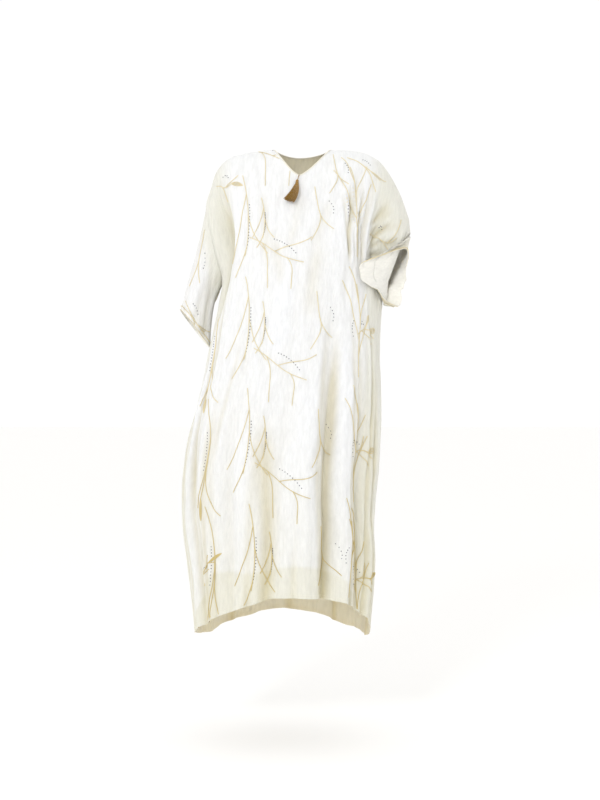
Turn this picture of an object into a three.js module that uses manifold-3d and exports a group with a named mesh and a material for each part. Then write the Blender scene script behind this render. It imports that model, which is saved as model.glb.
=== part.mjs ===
// A loose V-neck kaftan with dropped shoulders and wide sleeves, kept in the hollow shape it has
// when it is worn: one arm hangs, the other is bent forward. Millimetres, +Z up. The front of the
// garment faces -Y, so the wearer's right arm is at -X and the left arm at +X. The origin lies
// between the two ends of the neckline, at the height where the shoulders carry the cloth.
import * as THREE from "three";
import Module from "manifold-3d";
import { mergeVertices } from "three/addons/utils/BufferGeometryUtils.js";

// ---------------------------------------------------------------- driving dimensions
const WALL = 1.6; // cloth thickness
const EDGE_BACK = 0.22; // each sewn edge stops this far short of its seam line
const NOTCH = 0.4; // least agreement between two panels' directions at which they share one
const NECK_S = 0.185; // where the neckline meets the shoulder seam, as a share of the half width
const NECK_DROP_FRONT = 78; // depth of the V below the shoulder
const NECK_DROP_BACK = 16;
const NECK_RISE = 6; // the neck opening's virtual ridge stands this far above the shoulder
const V_ROUNDING = 1.5; // 1 is a straight-sided V, 2 a round scoop
const ARCH_T = 0.05; // share of the length over which the cloth rounds the shoulder
const ARMHOLE_T = 0.175; // share of the length at which the armholes end, under the arms
const ARMHOLE_GAP = { right: 64, left: 72 }; // half the armhole's opening, front to back

const COLUMNS = { shoulder: 16, neck: 10 }; // grid steps across each shoulder and the neck
const ROWS = { armhole: 10, skirt: 19 }; // grid steps down the armhole and from there to the hem
const SLEEVE_ROWS = 10;

// The body as sections from the shoulder ridge (t = 0) to the hem (t = 1).
// centre, right, left: x of the centre line and of the two side seams; front, back: depth of the
// cloth at the centre line; square: 1 for an oval section, less for a boxier one.
const BODY = [
  { t: 0.0, centre: -4, right: -247, left: 276, front: 60, back: 52, square: 0.16 },
  { t: 0.05, centre: -6, right: -234, left: 256, front: 74, back: 64, square: 0.2 },
  { t: 0.1, centre: -8, right: -221, left: 236, front: 102, back: 88, square: 0.32 },
  { t: 0.175, centre: -9, right: -204, left: 210, front: 134, back: 108, square: 0.5 },
  { t: 0.24, centre: -10, right: -214, left: 203, front: 146, back: 114, square: 0.62 },
  { t: 0.317, centre: -12, right: -231, left: 199, front: 150, back: 117, square: 0.7 },
  { t: 0.46, centre: -22, right: -265, left: 204, front: 151, back: 124, square: 0.78 },
  { t: 0.6, centre: -36, right: -302, left: 198, front: 156, back: 138, square: 0.84 },
  { t: 0.74, centre: -46, right: -307, left: 184, front: 162, back: 150, square: 0.86 },
  { t: 0.86, centre: -48, right: -291, left: 187, front: 167, back: 158, square: 0.86 },
  { t: 1.0, centre: -50, right: -275, left: 175, front: 170, back: 164, square: 0.86 },
];

// Height of the shoulder ridge from one sleeve seam (s = -1) over the neck to the other (s = 1).
const RIDGE = [
  { s: -1.0, z: -157 },
  { s: -0.79, z: -100 },
  { s: -0.72, z: -66 },
  { s: -0.62, z: -37 },
  { s: -0.51, z: -18 },
  { s: -0.38, z: -8 },
  { s: -NECK_S, z: 0 },
  { s: 0.0, z: NECK_RISE },
  { s: NECK_S, z: 0 },
  { s: 0.37, z: -6 },
  { s: 0.5, z: -26 },
  { s: 0.58, z: -52 },
  { s: 0.71, z: -104 },
  { s: 0.86, z: -162 },
  { s: 1.0, z: -188 },
];

// Height of the hem. The corners under the arms hang lowest.
const HEM_FRONT = [
  { s: -1.0, z: -1241 },
  { s: -0.7, z: -1206 },
  { s: -0.4, z: -1170 },
  { s: -0.19, z: -1146 },
  { s: -0.05, z: -1132 },
  { s: 0.34, z: -1138 },
  { s: 0.6, z: -1162 },
  { s: 0.85, z: -1206 },
  { s: 1.0, z: -1238 },
];
const HEM_BACK = [
  { s: -1.0, z: -1241 },
  { s: -0.7, z: -1251 },
  { s: -0.35, z: -1221 },
  { s: 0.0, z: -1199 },
  { s: 0.3, z: -1215 },
  { s: 0.6, z: -1240 },
  { s: 0.85, z: -1253 },
  { s: 1.0, z: -1238 },
];

// Main folds: from (s0, t0) to (s1, t1), width across in s, depth in mm (minus is a trough).
// fade is the share of the length over which the fold dies out at its ends.
const FOLDS_FRONT = [
  { s0: -0.7, t0: 0.02, s1: -0.78, t1: 0.36, width: 0.1, depth: -26, fade: 0.1 },
  { s0: 0.64, t0: 0.03, s1: 0.71, t1: 0.26, width: 0.09, depth: -8, fade: 0.07 },
  { s0: 0.3, t0: 0.05, s1: 0.36, t1: 0.27, width: 0.045, depth: 6, fade: 0.06 },
  { s0: 0.41, t0: 0.05, s1: 0.46, t1: 0.28, width: 0.045, depth: 7, fade: 0.06 },
  { s0: 0.52, t0: 0.05, s1: 0.55, t1: 0.28, width: 0.045, depth: 6, fade: 0.06 },
  { s0: -0.66, t0: 0.36, s1: -0.73, t1: 1.2, width: 0.07, depth: -16, fade: 0.3 },
  { s0: -0.5, t0: 0.42, s1: -0.54, t1: 1.2, width: 0.11, depth: 13, fade: 0.4 },
  { s0: -0.33, t0: 0.34, s1: -0.38, t1: 1.2, width: 0.07, depth: -12, fade: 0.35 },
  { s0: -0.19, t0: 0.5, s1: -0.22, t1: 1.2, width: 0.09, depth: 12, fade: 0.4 },
  { s0: -0.02, t0: 0.42, s1: -0.05, t1: 1.2, width: 0.1, depth: -20, fade: 0.4 },
  { s0: 0.13, t0: 0.4, s1: 0.17, t1: 1.2, width: 0.11, depth: 12, fade: 0.4 },
  { s0: 0.28, t0: 0.28, s1: 0.345, t1: 1.2, width: 0.055, depth: -30, fade: 0.35 },
  { s0: 0.43, t0: 0.32, s1: 0.48, t1: 1.2, width: 0.08, depth: 15, fade: 0.35 },
  { s0: 0.6, t0: 0.4, s1: 0.68, t1: 1.2, width: 0.065, depth: -18, fade: 0.35 },
  { s0: 0.78, t0: 0.4, s1: 0.84, t1: 1.2, width: 0.07, depth: 8, fade: 0.3 },
];
const FOLDS_BACK = [
  { s0: -0.7, t0: 0.02, s1: -0.74, t1: 0.34, width: 0.1, depth: -20, fade: 0.1 },
  { s0: 0.64, t0: 0.02, s1: 0.72, t1: 0.32, width: 0.1, depth: -18, fade: 0.1 },
  { s0: -0.6, t0: 0.3, s1: -0.66, t1: 1.2, width: 0.08, depth: -17, fade: 0.4 },
  { s0: -0.44, t0: 0.36, s1: -0.46, t1: 1.2, width: 0.09, depth: 13, fade: 0.4 },
  { s0: -0.24, t0: 0.22, s1: -0.28, t1: 1.2, width: 0.08, depth: -20, fade: 0.5 },
  { s0: -0.07, t0: 0.3, s1: -0.09, t1: 1.2, width: 0.09, depth: 14, fade: 0.5 },
  { s0: 0.1, t0: 0.2, s1: 0.12, t1: 1.2, width: 0.08, depth: -18, fade: 0.5 },
  { s0: 0.27, t0: 0.34, s1: 0.3, t1: 1.2, width: 0.09, depth: 13, fade: 0.4 },
  { s0: 0.44, t0: 0.26, s1: 0.5, t1: 1.2, width: 0.08, depth: -21, fade: 0.45 },
  { s0: 0.66, t0: 0.4, s1: 0.72, t1: 1.2, width: 0.09, depth: 11, fade: 0.4 },
];

// Each sleeve is a tube through four or eight lines: along the top of the arm, its front,
// underneath and behind. It starts (w = 0) at the body's armhole and ends (w = 1) at the cuff.
const SLEEVE_RIGHT = [
  { w: 0.33, top: [-263, 8, -225], front: [-240, -54, -306], under: [-224, 16, -389], back: [-247, 78, -304] },
  { w: 0.67, top: [-289, 20, -318], front: [-258, -43, -374], under: [-234, 34, -447], back: [-268, 96, -372] },
  { w: 1.0, top: [-315, 34, -411], front: [-280, -30, -448], under: [-238, 46, -510], back: [-285, 112, -456] },
];
const SLEEVE_LEFT = [
  {
    w: 0.3,
    top: [278, -6, -218],
    topFront: [263, -64, -234],
    front: [239, -93, -281],
    underFront: [225, -62, -346],
    under: [223, -12, -388],
    underBack: [238, 44, -362],
    back: [255, 74, -296],
    topBack: [272, 48, -238],
  },
  {
    w: 0.66,
    top: [267, -52, -240],
    topFront: [236, -101, -258],
    front: [194, -112, -296],
    underFront: [200, -86, -358],
    under: [222, -46, -400],
    underBack: [246, -4, -378],
    back: [264, 14, -312],
    topBack: [275, -8, -254],
  },
  {
    w: 1.0,
    top: [230, -108, -270],
    topFront: [185, -130, -288],
    front: [141, -143, -315],
    underFront: [168, -116, -360],
    under: [214, -76, -394],
    underBack: [254, -52, -378],
    back: [262, -62, -318],
    topBack: [266, -86, -267],
  },
];
// Folds in a sleeve: around in degrees (0 top, 90 front), from w0 to w1 along it.
const SLEEVE_FOLDS_RIGHT = [
  { around0: 62, w0: 0.1, around1: 78, w1: 1.3, width: 22, depth: 7 },
  { around0: 118, w0: 0.05, around1: 132, w1: 1.3, width: 20, depth: -7 },
  { around0: 235, w0: 0.1, around1: 225, w1: 1.3, width: 22, depth: -7 },
  { around0: 300, w0: 0.1, around1: 285, w1: 1.3, width: 22, depth: 6 },
];
const SLEEVE_FOLDS_LEFT = [
  { around0: 300, w0: 0.2, around1: 60, w1: 0.45, width: 26, depth: -6 },
  { around0: 320, w0: 0.4, around1: 110, w1: 0.75, width: 24, depth: 6 },
  { around0: 150, w0: 0.2, around1: 160, w1: 1.3, width: 18, depth: -8 },
  { around0: 215, w0: 0.3, around1: 205, w1: 1.3, width: 18, depth: 7 },
];

const BINDING = { radius: 1.4, gap: 0.35, sides: 8 }; // the rolled neck edge
const TASSEL = {
  root: [-12, -103, -94], // centre of the head
  tip: [-33, -136, -147], // centre of the cut ends
  bow: [5, -3, 0], // how far the middle of the skirt bends off the straight line
  headRadius: 4.6,
  capLength: 13,
  rootShare: 0.12, // the strands part this far down from the head, inside the cap
  capRadius: [3.6, 6.4],
  strands: 44,
  strandRadius: 0.8,
  strandSteps: 4,
  endHalfWidth: 15,
  endHalfDepth: 6.5,
  lengthVariation: 0.05,
};
const TASSEL_CORD = { radius: 1.3, sides: 8, seat: 0.3 };

// ---------------------------------------------------------------- small tools
// A smooth curve through one column of a table, read at x on its key column.
function curve(rows, key, column) {
  const x = rows.map((row) => row[key]);
  const y = rows.map((row) => row[column]);
  const last = rows.length - 1;
  const slope = y.map((_, i) => {
    const a = Math.max(i - 1, 0);
    const b = Math.min(i + 1, last);
    return (y[b] - y[a]) / (x[b] - x[a]);
  });
  return (at) => {
    const clamped = Math.min(Math.max(at, x[0]), x[last]);
    let i = 0;
    while (i < last - 1 && clamped > x[i + 1]) i++;
    const h = x[i + 1] - x[i];
    const u = (clamped - x[i]) / h;
    return (
      y[i] * (1 + 2 * u) * (1 - u) ** 2 +
      slope[i] * h * u * (1 - u) ** 2 +
      y[i + 1] * u * u * (3 - 2 * u) +
      slope[i + 1] * h * u * u * (u - 1)
    );
  };
}

function smooth(from, to, x) {
  const u = Math.min(Math.max((x - from) / (to - from), 0), 1);
  return u * u * (3 - 2 * u);
}

const mix = (a, b, u) => a + (b - a) * u;

// ---------------------------------------------------------------- the body's surface
const body = Object.fromEntries(
  ["centre", "right", "left", "front", "back", "square"].map((c) => [c, curve(BODY, "t", c)]),
);
const ridgeHeight = curve(RIDGE, "s", "z");
const hemHeight = { front: curve(HEM_FRONT, "s", "z"), back: curve(HEM_BACK, "s", "z") };
const foldsOf = { front: FOLDS_FRONT, back: FOLDS_BACK };

// How far the folds move the cloth out at (s, t). They die out at the side seams.
function foldRelief(folds, s, t) {
  let sum = 0;
  for (const f of folds) {
    const along = (t - f.t0) / (f.t1 - f.t0);
    if (along <= 0 || along >= 1) continue;
    const ends = smooth(0, f.fade, t - f.t0) * smooth(0, f.fade, f.t1 - t);
    const across = (s - mix(f.s0, f.s1, along)) / f.width;
    sum += f.depth * ends * Math.exp(-across * across);
  }
  return sum * (1 - s ** 8);
}

// A point of the cloth's outer face. panel is "front" or "back".
function bodyPoint(panel, s, t) {
  const facing = panel === "front" ? -1 : 1;
  const turn = (s * Math.PI) / 2;
  const reach = s < 0 ? body.centre(t) - body.right(t) : body.left(t) - body.centre(t);
  const rounding = Math.sqrt(1 - (1 - Math.min(t / ARCH_T, 1)) ** 2);
  const depth = body[panel](t) * rounding;
  const halfGap = s < 0 ? ARMHOLE_GAP.right : ARMHOLE_GAP.left;
  const down = Math.min(t / ARMHOLE_T, 1);
  const gap = halfGap * 2 * Math.sqrt(down * (1 - down));
  const ridge = ridgeHeight(s);
  const out = new THREE.Vector2(Math.sin(turn) / reach, (facing * Math.cos(turn)) / body[panel](t));
  out.normalize().multiplyScalar(foldRelief(foldsOf[panel], s, t));
  const oval = depth * Math.cos(turn) ** body.square(t);
  const armhole = gap * smooth(0.5, 0.85, Math.abs(s));
  return new THREE.Vector3(
    body.centre(t) + reach * Math.sin(turn) + out.x,
    facing * (oval ** 4 + armhole ** 4) ** 0.25 + out.y,
    mix(ridge, hemHeight[panel](s), t),
  );
}

// Where a column starts: on the shoulder seam, or on the neckline.
function columnStart(panel, s) {
  const across = Math.abs(s) / NECK_S;
  if (across >= 1) return 0;
  const drop =
    panel === "front"
      ? NECK_DROP_FRONT * (1 - across ** V_ROUNDING)
      : NECK_DROP_BACK * (1 - across ** 2);
  const ridge = ridgeHeight(s);
  return (ridge + drop) / (ridge - hemHeight[panel](s));
}

const across = [];
for (let i = 0; i < COLUMNS.shoulder; i++) across.push(mix(-1, -NECK_S, i / COLUMNS.shoulder));
for (let i = 0; i < COLUMNS.neck; i++) across.push(mix(-NECK_S, NECK_S, i / COLUMNS.neck));
for (let i = 0; i <= COLUMNS.shoulder; i++) across.push(mix(NECK_S, 1, i / COLUMNS.shoulder));

// Rows are spaced as equal turns round the armhole, so that a sleeve has the same points.
const down = [];
for (let j = 0; j < ROWS.armhole; j++)
  down.push((ARMHOLE_T * (1 - Math.cos((Math.PI * j) / ROWS.armhole))) / 2);
for (let j = 0; j <= ROWS.skirt; j++) down.push(mix(ARMHOLE_T, 1, j / ROWS.skirt));

function bodyGrid(panel) {
  return down.map((t) =>
    across.map((s) => {
      const start = columnStart(panel, s);
      return bodyPoint(panel, s, mix(start, 1, t));
    }),
  );
}

// ---------------------------------------------------------------- the sleeves' surface
// A closed loop that passes the given points at equal angles, by its first harmonics.
function loopPoint(points, angle) {
  const n = points.length;
  const out = new THREE.Vector3();
  points.forEach((point, i) => {
    const away = angle - (2 * Math.PI * i) / n;
    let share = 1 + Math.cos((n / 2) * away);
    for (let k = 1; k < n / 2; k++) share += 2 * Math.cos(k * away);
    out.addScaledVector(point, share / n);
  });
  return out;
}

// The points of a sleeve's lines at w.
function sleeveLines(start, rows) {
  const names = Object.keys(rows[0]).filter((name) => name !== "w");
  const lines = names.map((name, n) =>
    [0, 1, 2].map((axis) =>
      curve(
        [{ w: 0, value: start[n].getComponent(axis) }].concat(
          rows.map((row) => ({ w: row.w, value: row[name][axis] })),
        ),
        "w",
        "value",
      ),
    ),
  );
  return (w) => lines.map((line) => new THREE.Vector3(...line.map((f) => f(w))));
}

function sleeveRelief(folds, degrees, w) {
  let sum = 0;
  for (const f of folds) {
    const along = (w - f.w0) / (f.w1 - f.w0);
    if (along <= 0 || along >= 1) continue;
    const sweep = ((f.around1 - f.around0 + 540) % 360) - 180;
    const centre = f.around0 + sweep * along;
    const off = (((degrees - centre + 540) % 360) - 180) / f.width;
    sum += f.depth * Math.sin(Math.PI * Math.min(along, 0.5)) * Math.exp(-off * off);
  }
  return sum * smooth(0, 0.2, w);
}

// armhole is the loop of body points that the sleeve is sewn to, from the top over the front.
function sleeveGrid(armhole, rows, folds) {
  const around = 2 * ROWS.armhole;
  const count = Object.keys(rows[0]).length - 1;
  const start = Array.from({ length: count }, (_, n) => {
    const at = (n * around) / count;
    const next = armhole[Math.ceil(at) % around];
    return armhole[Math.floor(at)].clone().lerp(next, at % 1);
  });
  const linesAt = sleeveLines(start, rows);
  const grid = [];
  for (let i = 0; i <= SLEEVE_ROWS; i++) {
    const w = i / SLEEVE_ROWS;
    const lines = linesAt(w);
    const centre = new THREE.Vector3();
    for (const line of lines) centre.addScaledVector(line, 1 / count);
    const loop = [];
    for (let j = 0; j < around; j++) {
      const angle = (Math.PI * j) / ROWS.armhole;
      const point = loopPoint(lines, angle);
      const out = point.clone().sub(centre).normalize();
      point.addScaledVector(out, sleeveRelief(folds, (angle * 180) / Math.PI, w));
      const gap = armhole[j].clone().sub(loopPoint(start, angle));
      loop.push(point.addScaledVector(gap, (1 - w) ** 3));
    }
    grid.push(loop);
  }
  return grid;
}

// ---------------------------------------------------------------- walls from grids
const keyOf = (p) => [p.x, p.y, p.z].map((v) => Math.round(v * 20)).join(",");

// Adds up the face directions at each point, over all panels, so that walls agree at the seams.
function addNormals(sums, grid, closed, flip) {
  const columns = grid[0].length;
  const edge = closed ? columns : columns - 1;
  for (let i = 0; i + 1 < grid.length; i++)
    for (let j = 0; j < edge; j++) {
      const k = (j + 1) % columns;
      const corners = [grid[i][j], grid[i][k], grid[i + 1][k], grid[i + 1][j]];
      const one = corners[2].clone().sub(corners[0]);
      const two = corners[3].clone().sub(corners[1]);
      const normal = one.cross(two).multiplyScalar(flip);
      for (const corner of corners) {
        const key = keyOf(corner);
        if (!sums.has(key)) sums.set(key, new THREE.Vector3());
        sums.get(key).add(normal);
      }
    }
}

const stepTowards = (from, to, distance) =>
  to.clone().sub(from).normalize().multiplyScalar(distance).add(from);

// Moves the sewn edges of a grid back from their seams, square to each seam. sewn(i, j) gives the
// grid steps that lead inwards and along the seam.
function pullBack(grid, sewn) {
  const columns = grid[0].length;
  const at = (i, j) => grid[Math.min(Math.max(i, 0), grid.length - 1)][(j + columns) % columns];
  return grid.map((row, i) =>
    row.map((point, j) => {
      const seam = sewn(i, j);
      if (!seam) return point.clone();
      const [[di, dj], [ai, aj]] = seam;
      const inwards = at(i + di, j + dj).clone().sub(point);
      const along = at(i + ai, j + aj).clone().sub(at(i - ai, j - aj));
      if (along.length() > 0) inwards.projectOnPlane(along.normalize());
      return point.clone().addScaledVector(inwards.normalize(), EDGE_BACK);
    }),
  );
}

// A closed wall between two grids of the same size, joined round every free edge.
function wallBetween(outer, inner, closed, flip) {
  const rows = outer.length;
  const columns = outer[0].length;
  const positions = [];
  for (const grid of [outer, inner])
    for (const row of grid) for (const p of row) positions.push(p.x, p.y, p.z);
  const id = (layer, i, j) => layer * rows * columns + i * columns + (j % columns);
  const triangles = [];
  const quad = (a, b, c, d) => triangles.push(a, b, c, a, c, d);
  const edge = closed ? columns : columns - 1;
  for (let i = 0; i + 1 < rows; i++)
    for (let j = 0; j < edge; j++) {
      const k = (j + 1) % columns;
      const falling = outer[i][j].distanceTo(outer[i + 1][k]);
      const rising = outer[i][k].distanceTo(outer[i + 1][j]);
      for (const layer of [0, 1]) {
        const c = [id(layer, i, j), id(layer, i, k), id(layer, i + 1, k), id(layer, i + 1, j)];
        if (rising < falling) c.push(c.shift());
        if (layer === 1) c.reverse();
        if (layer === 1) c.unshift(c.pop());
        quad(...c);
      }
    }
  for (let j = 0; j < edge; j++) {
    const k = (j + 1) % columns;
    quad(id(1, 0, j), id(1, 0, k), id(0, 0, k), id(0, 0, j));
    quad(id(0, rows - 1, j), id(0, rows - 1, k), id(1, rows - 1, k), id(1, rows - 1, j));
  }
  if (!closed)
    for (let i = 0; i + 1 < rows; i++) {
      quad(id(0, i, 0), id(0, i + 1, 0), id(1, i + 1, 0), id(1, i, 0));
      const e = columns - 1;
      quad(id(1, i, e), id(1, i + 1, e), id(0, i + 1, e), id(0, i, e));
    }
  if (flip < 0)
    for (let n = 0; n < triangles.length; n += 3)
      [triangles[n], triangles[n + 1]] = [triangles[n + 1], triangles[n]];
  const geometry = new THREE.BufferGeometry();
  geometry.setAttribute("position", new THREE.Float32BufferAttribute(positions, 3));
  geometry.setIndex(triangles);
  return geometry;
}

// ---------------------------------------------------------------- the four panels
const lastColumn = across.length - 1;
const grids = { front: bodyGrid("front"), back: bodyGrid("back") };
const armholeLoop = (column) => [
  ...grids.front.slice(0, ROWS.armhole + 1).map((row) => row[column]),
  ...grids.back.slice(1, ROWS.armhole).reverse().map((row) => row[column]),
];
grids.sleeve_right = sleeveGrid(armholeLoop(0), SLEEVE_RIGHT, SLEEVE_FOLDS_RIGHT);
grids.sleeve_left = sleeveGrid(armholeLoop(lastColumn), SLEEVE_LEFT, SLEEVE_FOLDS_LEFT);
const FLIP = { front: -1, back: 1, sleeve_right: -1, sleeve_left: 1 };
const isSleeve = (name) => name.startsWith("sleeve");

const normalSums = new Map();
for (const [name, grid] of Object.entries(grids))
  addNormals(normalSums, grid, isSleeve(name), FLIP[name]);
const normalAt = (point) => normalSums.get(keyOf(point)).clone().normalize();

// Neighbours share a wall direction at their seam, except in the notch under the arm, where each
// panel's wall goes its own way.
function wallDirections(name) {
  const own = new Map();
  addNormals(own, grids[name], isSleeve(name), FLIP[name]);
  return grids[name].map((row) =>
    row.map((point) => {
      const mine = own.get(keyOf(point));
      const others = normalSums.get(keyOf(point)).clone().sub(mine);
      const agreed = others.length() < 1e-9 || others.normalize().dot(mine) > NOTCH * mine.length();
      return agreed ? normalAt(point) : mine.clone().normalize();
    }),
  );
}

const neckFirst = COLUMNS.shoulder;
const neckLast = COLUMNS.shoulder + COLUMNS.neck;

function panelWall(name) {
  const grid = grids[name];
  const sewn = isSleeve(name)
    ? (i) => (i === 0 ? [[1, 0], [0, 1]] : null)
    : (i, j) => {
        const onShoulder = i === 0 && (j <= neckFirst || j >= neckLast);
        const side = j === 0 ? 1 : j === lastColumn ? -1 : 0;
        if (onShoulder && side) return [[1, side], [0, 0]];
        if (side) return [[0, side], [1, 0]];
        return onShoulder ? [[1, 0], [0, 1]] : null;
      };
  const outer = pullBack(grid, sewn);
  const directions = wallDirections(name);
  const inner = outer.map((row, i) =>
    row.map((point, j) => point.clone().addScaledVector(directions[i][j], -WALL)),
  );
  return wallBetween(outer, inner, isSleeve(name), FLIP[name]);
}

// ---------------------------------------------------------------- the rolled neck edge
// It runs round the neck just off the panels' edges: their own points, moved away from the cloth.
function neckPath() {
  const rim = [];
  for (let j = neckFirst; j <= neckLast; j++) rim.push(["front", j]);
  for (let j = neckLast - 1; j > neckFirst; j--) rim.push(["back", j]);
  const count = rim.length;
  const edge = rim.map(([panel, j]) => grids[panel][0][j]);
  return edge.map((point, n) => {
    const before = point.clone().sub(edge[(n + count - 1) % count]).normalize();
    const after = edge[(n + 1) % count].clone().sub(point).normalize();
    const along = before.clone().add(after).normalize();
    const normal = normalAt(point);
    const away = normal.clone().cross(along).normalize();
    const mitre = Math.max(before.dot(along), 0.6);
    return point
      .clone()
      .addScaledVector(away, (BINDING.radius + BINDING.gap) / mitre)
      .addScaledVector(normal, -WALL / 2);
  });
}

function neckBinding() {
  const path = neckPath();
  const count = path.length;
  const rings = path.map((p, n) => {
    const along = path[(n + 1) % count].clone().sub(path[(n + count - 1) % count]).normalize();
    const up = new THREE.Vector3(0, 0, 1).addScaledVector(along, -along.z).normalize();
    const side = along.clone().cross(up);
    return Array.from({ length: BINDING.sides }, (_, k) => {
      const a = (2 * Math.PI * k) / BINDING.sides;
      return p
        .clone()
        .addScaledVector(side, BINDING.radius * Math.cos(a))
        .addScaledVector(up, BINDING.radius * Math.sin(a));
    });
  });
  const triangles = [];
  for (let n = 0; n < count; n++)
    for (let k = 0; k < BINDING.sides; k++) {
      const a = n * BINDING.sides + k;
      const b = n * BINDING.sides + ((k + 1) % BINDING.sides);
      const ahead = ((n + 1) % count) * BINDING.sides;
      const c = ahead + k;
      const d = ahead + ((k + 1) % BINDING.sides);
      triangles.push(a, d, b, a, c, d);
    }
  const geometry = new THREE.BufferGeometry();
  const positions = rings.flat().flatMap((p) => [p.x, p.y, p.z]);
  geometry.setAttribute("position", new THREE.Float32BufferAttribute(positions, 3));
  geometry.setIndex(triangles);
  return geometry;
}

// ---------------------------------------------------------------- the tassel
const wasm = await Module();
wasm.setup();

function solidOf(geometry) {
  const bare = geometry.clone();
  for (const name of Object.keys(bare.attributes)) if (name !== "position") bare.deleteAttribute(name);
  const merged = mergeVertices(bare, 1e-4);
  return new wasm.Manifold(
    new wasm.Mesh({
      numProp: 3,
      vertProperties: merged.attributes.position.array,
      triVerts: new Uint32Array(merged.index.array),
    }),
  );
}

function geometryOf(solid) {
  const mesh = solid.getMesh();
  const geometry = new THREE.BufferGeometry();
  geometry.setAttribute("position", new THREE.BufferAttribute(mesh.vertProperties, 3));
  geometry.setIndex(new THREE.BufferAttribute(mesh.triVerts, 1));
  return geometry;
}

// A closed tube with a flat cap at each end, round the points, its radius read from radiusAt.
function tube(points, sides, radiusAt, sideways) {
  const rings = points.map((p, i) => {
    const ahead = points[Math.min(i + 1, points.length - 1)];
    const behind = points[Math.max(i - 1, 0)];
    const along = ahead.clone().sub(behind).normalize();
    const u = sideways.clone().cross(along).normalize();
    const v = along.clone().cross(u);
    const radius = radiusAt(i / (points.length - 1));
    return Array.from({ length: sides }, (_, k) => {
      const a = (2 * Math.PI * k) / sides;
      return p.clone().addScaledVector(u, radius * Math.cos(a)).addScaledVector(v, radius * Math.sin(a));
    });
  });
  const positions = rings.flat().flatMap((p) => [p.x, p.y, p.z]);
  const triangles = [];
  for (let i = 0; i + 1 < rings.length; i++)
    for (let k = 0; k < sides; k++) {
      const a = i * sides + k;
      const b = i * sides + ((k + 1) % sides);
      triangles.push(a, b, b + sides, a, b + sides, a + sides);
    }
  const end = (rings.length - 1) * sides;
  for (let k = 1; k + 1 < sides; k++) triangles.push(0, k + 1, k, end, end + k, end + k + 1);
  const geometry = new THREE.BufferGeometry();
  geometry.setAttribute("position", new THREE.Float32BufferAttribute(positions, 3));
  geometry.setIndex(triangles);
  return geometry;
}

const tasselRoot = new THREE.Vector3(...TASSEL.root);
const tasselTip = new THREE.Vector3(...TASSEL.tip);
const tasselAxis = tasselTip.clone().sub(tasselRoot).normalize();
const tasselAcross = new THREE.Vector3(1, 0, 0).addScaledVector(tasselAxis, -tasselAxis.x).normalize();
const tasselDeep = tasselAxis.clone().cross(tasselAcross);

function skirtPoint(sideShare, deepShare, along) {
  const bow = new THREE.Vector3(...TASSEL.bow).multiplyScalar(4 * along * (1 - along));
  const free = Math.max(along - TASSEL.rootShare, 0) / (1 - TASSEL.rootShare);
  const spread = free ** 0.6;
  return tasselRoot
    .clone()
    .lerp(tasselTip, along)
    .add(bow)
    .addScaledVector(tasselAcross, sideShare * mix(2.4, TASSEL.endHalfWidth, spread))
    .addScaledVector(tasselDeep, deepShare * mix(2.2, TASSEL.endHalfDepth, spread));
}

function tassel() {
  const length = tasselRoot.distanceTo(tasselTip);
  const head = new THREE.IcosahedronGeometry(TASSEL.headRadius, 1).translate(...TASSEL.root);
  const capShare = TASSEL.capLength / length;
  const cap = tube(
    [0, 0.5, 1].map((u) => skirtPoint(0, 0, u * capShare)),
    10,
    (u) => mix(...TASSEL.capRadius, u),
    tasselDeep,
  );
  let solid = solidOf(head).add(solidOf(cap));
  const golden = Math.PI * (3 - Math.sqrt(5));
  for (let n = 0; n < TASSEL.strands; n++) {
    const radius = Math.sqrt((n + 0.5) / TASSEL.strands);
    const side = radius * Math.cos(n * golden);
    const deep = radius * Math.sin(n * golden);
    const reach = 1 - TASSEL.lengthVariation * ((n * 7) % 5) * 0.25;
    const points = [];
    for (let i = 0; i <= TASSEL.strandSteps; i++)
      points.push(skirtPoint(side, deep, mix(TASSEL.rootShare * 0.8, reach, i / TASSEL.strandSteps)));
    solid = solid.add(solidOf(tube(points, 3, () => TASSEL.strandRadius, tasselDeep)));
  }
  return geometryOf(solid);
}

// The short cord from the point of the V to the tassel's head.
function tasselCord() {
  const out = normalAt(grids.front[0][COLUMNS.shoulder + COLUMNS.neck / 2]);
  const lift = BINDING.radius + TASSEL_CORD.seat + TASSEL_CORD.radius;
  const start = neckPath()[COLUMNS.neck / 2].addScaledVector(out, lift);
  const end = stepTowards(tasselRoot, start, TASSEL.headRadius + TASSEL_CORD.seat);
  const middlePoint = start.clone().lerp(end, 0.5).addScaledVector(out, 0.6);
  return tube([start, middlePoint, end], TASSEL_CORD.sides, () => TASSEL_CORD.radius, new THREE.Vector3(1, 0, 0));
}

// ---------------------------------------------------------------- the garment
const cloth = new THREE.MeshStandardMaterial({ color: 0xf3efe3, roughness: 0.85, metalness: 0 });
const edging = new THREE.MeshStandardMaterial({ color: 0xf6f2e8, roughness: 0.8, metalness: 0 });
const thread = new THREE.MeshStandardMaterial({ color: 0x9a6a12, roughness: 0.45, metalness: 0.2 });

const kaftan = new THREE.Group();
const nodeName = (name) => (isSleeve(name) ? name : `${name}_panel`);
function add(name, geometry, material) {
  const mesh = new THREE.Mesh(geometry, material);
  mesh.name = name;
  kaftan.add(mesh);
}
for (const name of Object.keys(grids)) add(nodeName(name), panelWall(name), cloth);
add("neck_binding", neckBinding(), edging);
add("tassel", tassel(), thread);
add("tassel_cord", tasselCord(), thread);

export default kaftan;
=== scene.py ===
"""A loose V-neck kaftan in cream crinkled cotton voile, hollow, in the shape it has when worn.

Its front faces -Y and its origin lies between the two ends of the neckline. Sizes are in
millimetres, until a mesh is made. The wearer's right arm is at -X.
"""
import math
from functools import partial

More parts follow.
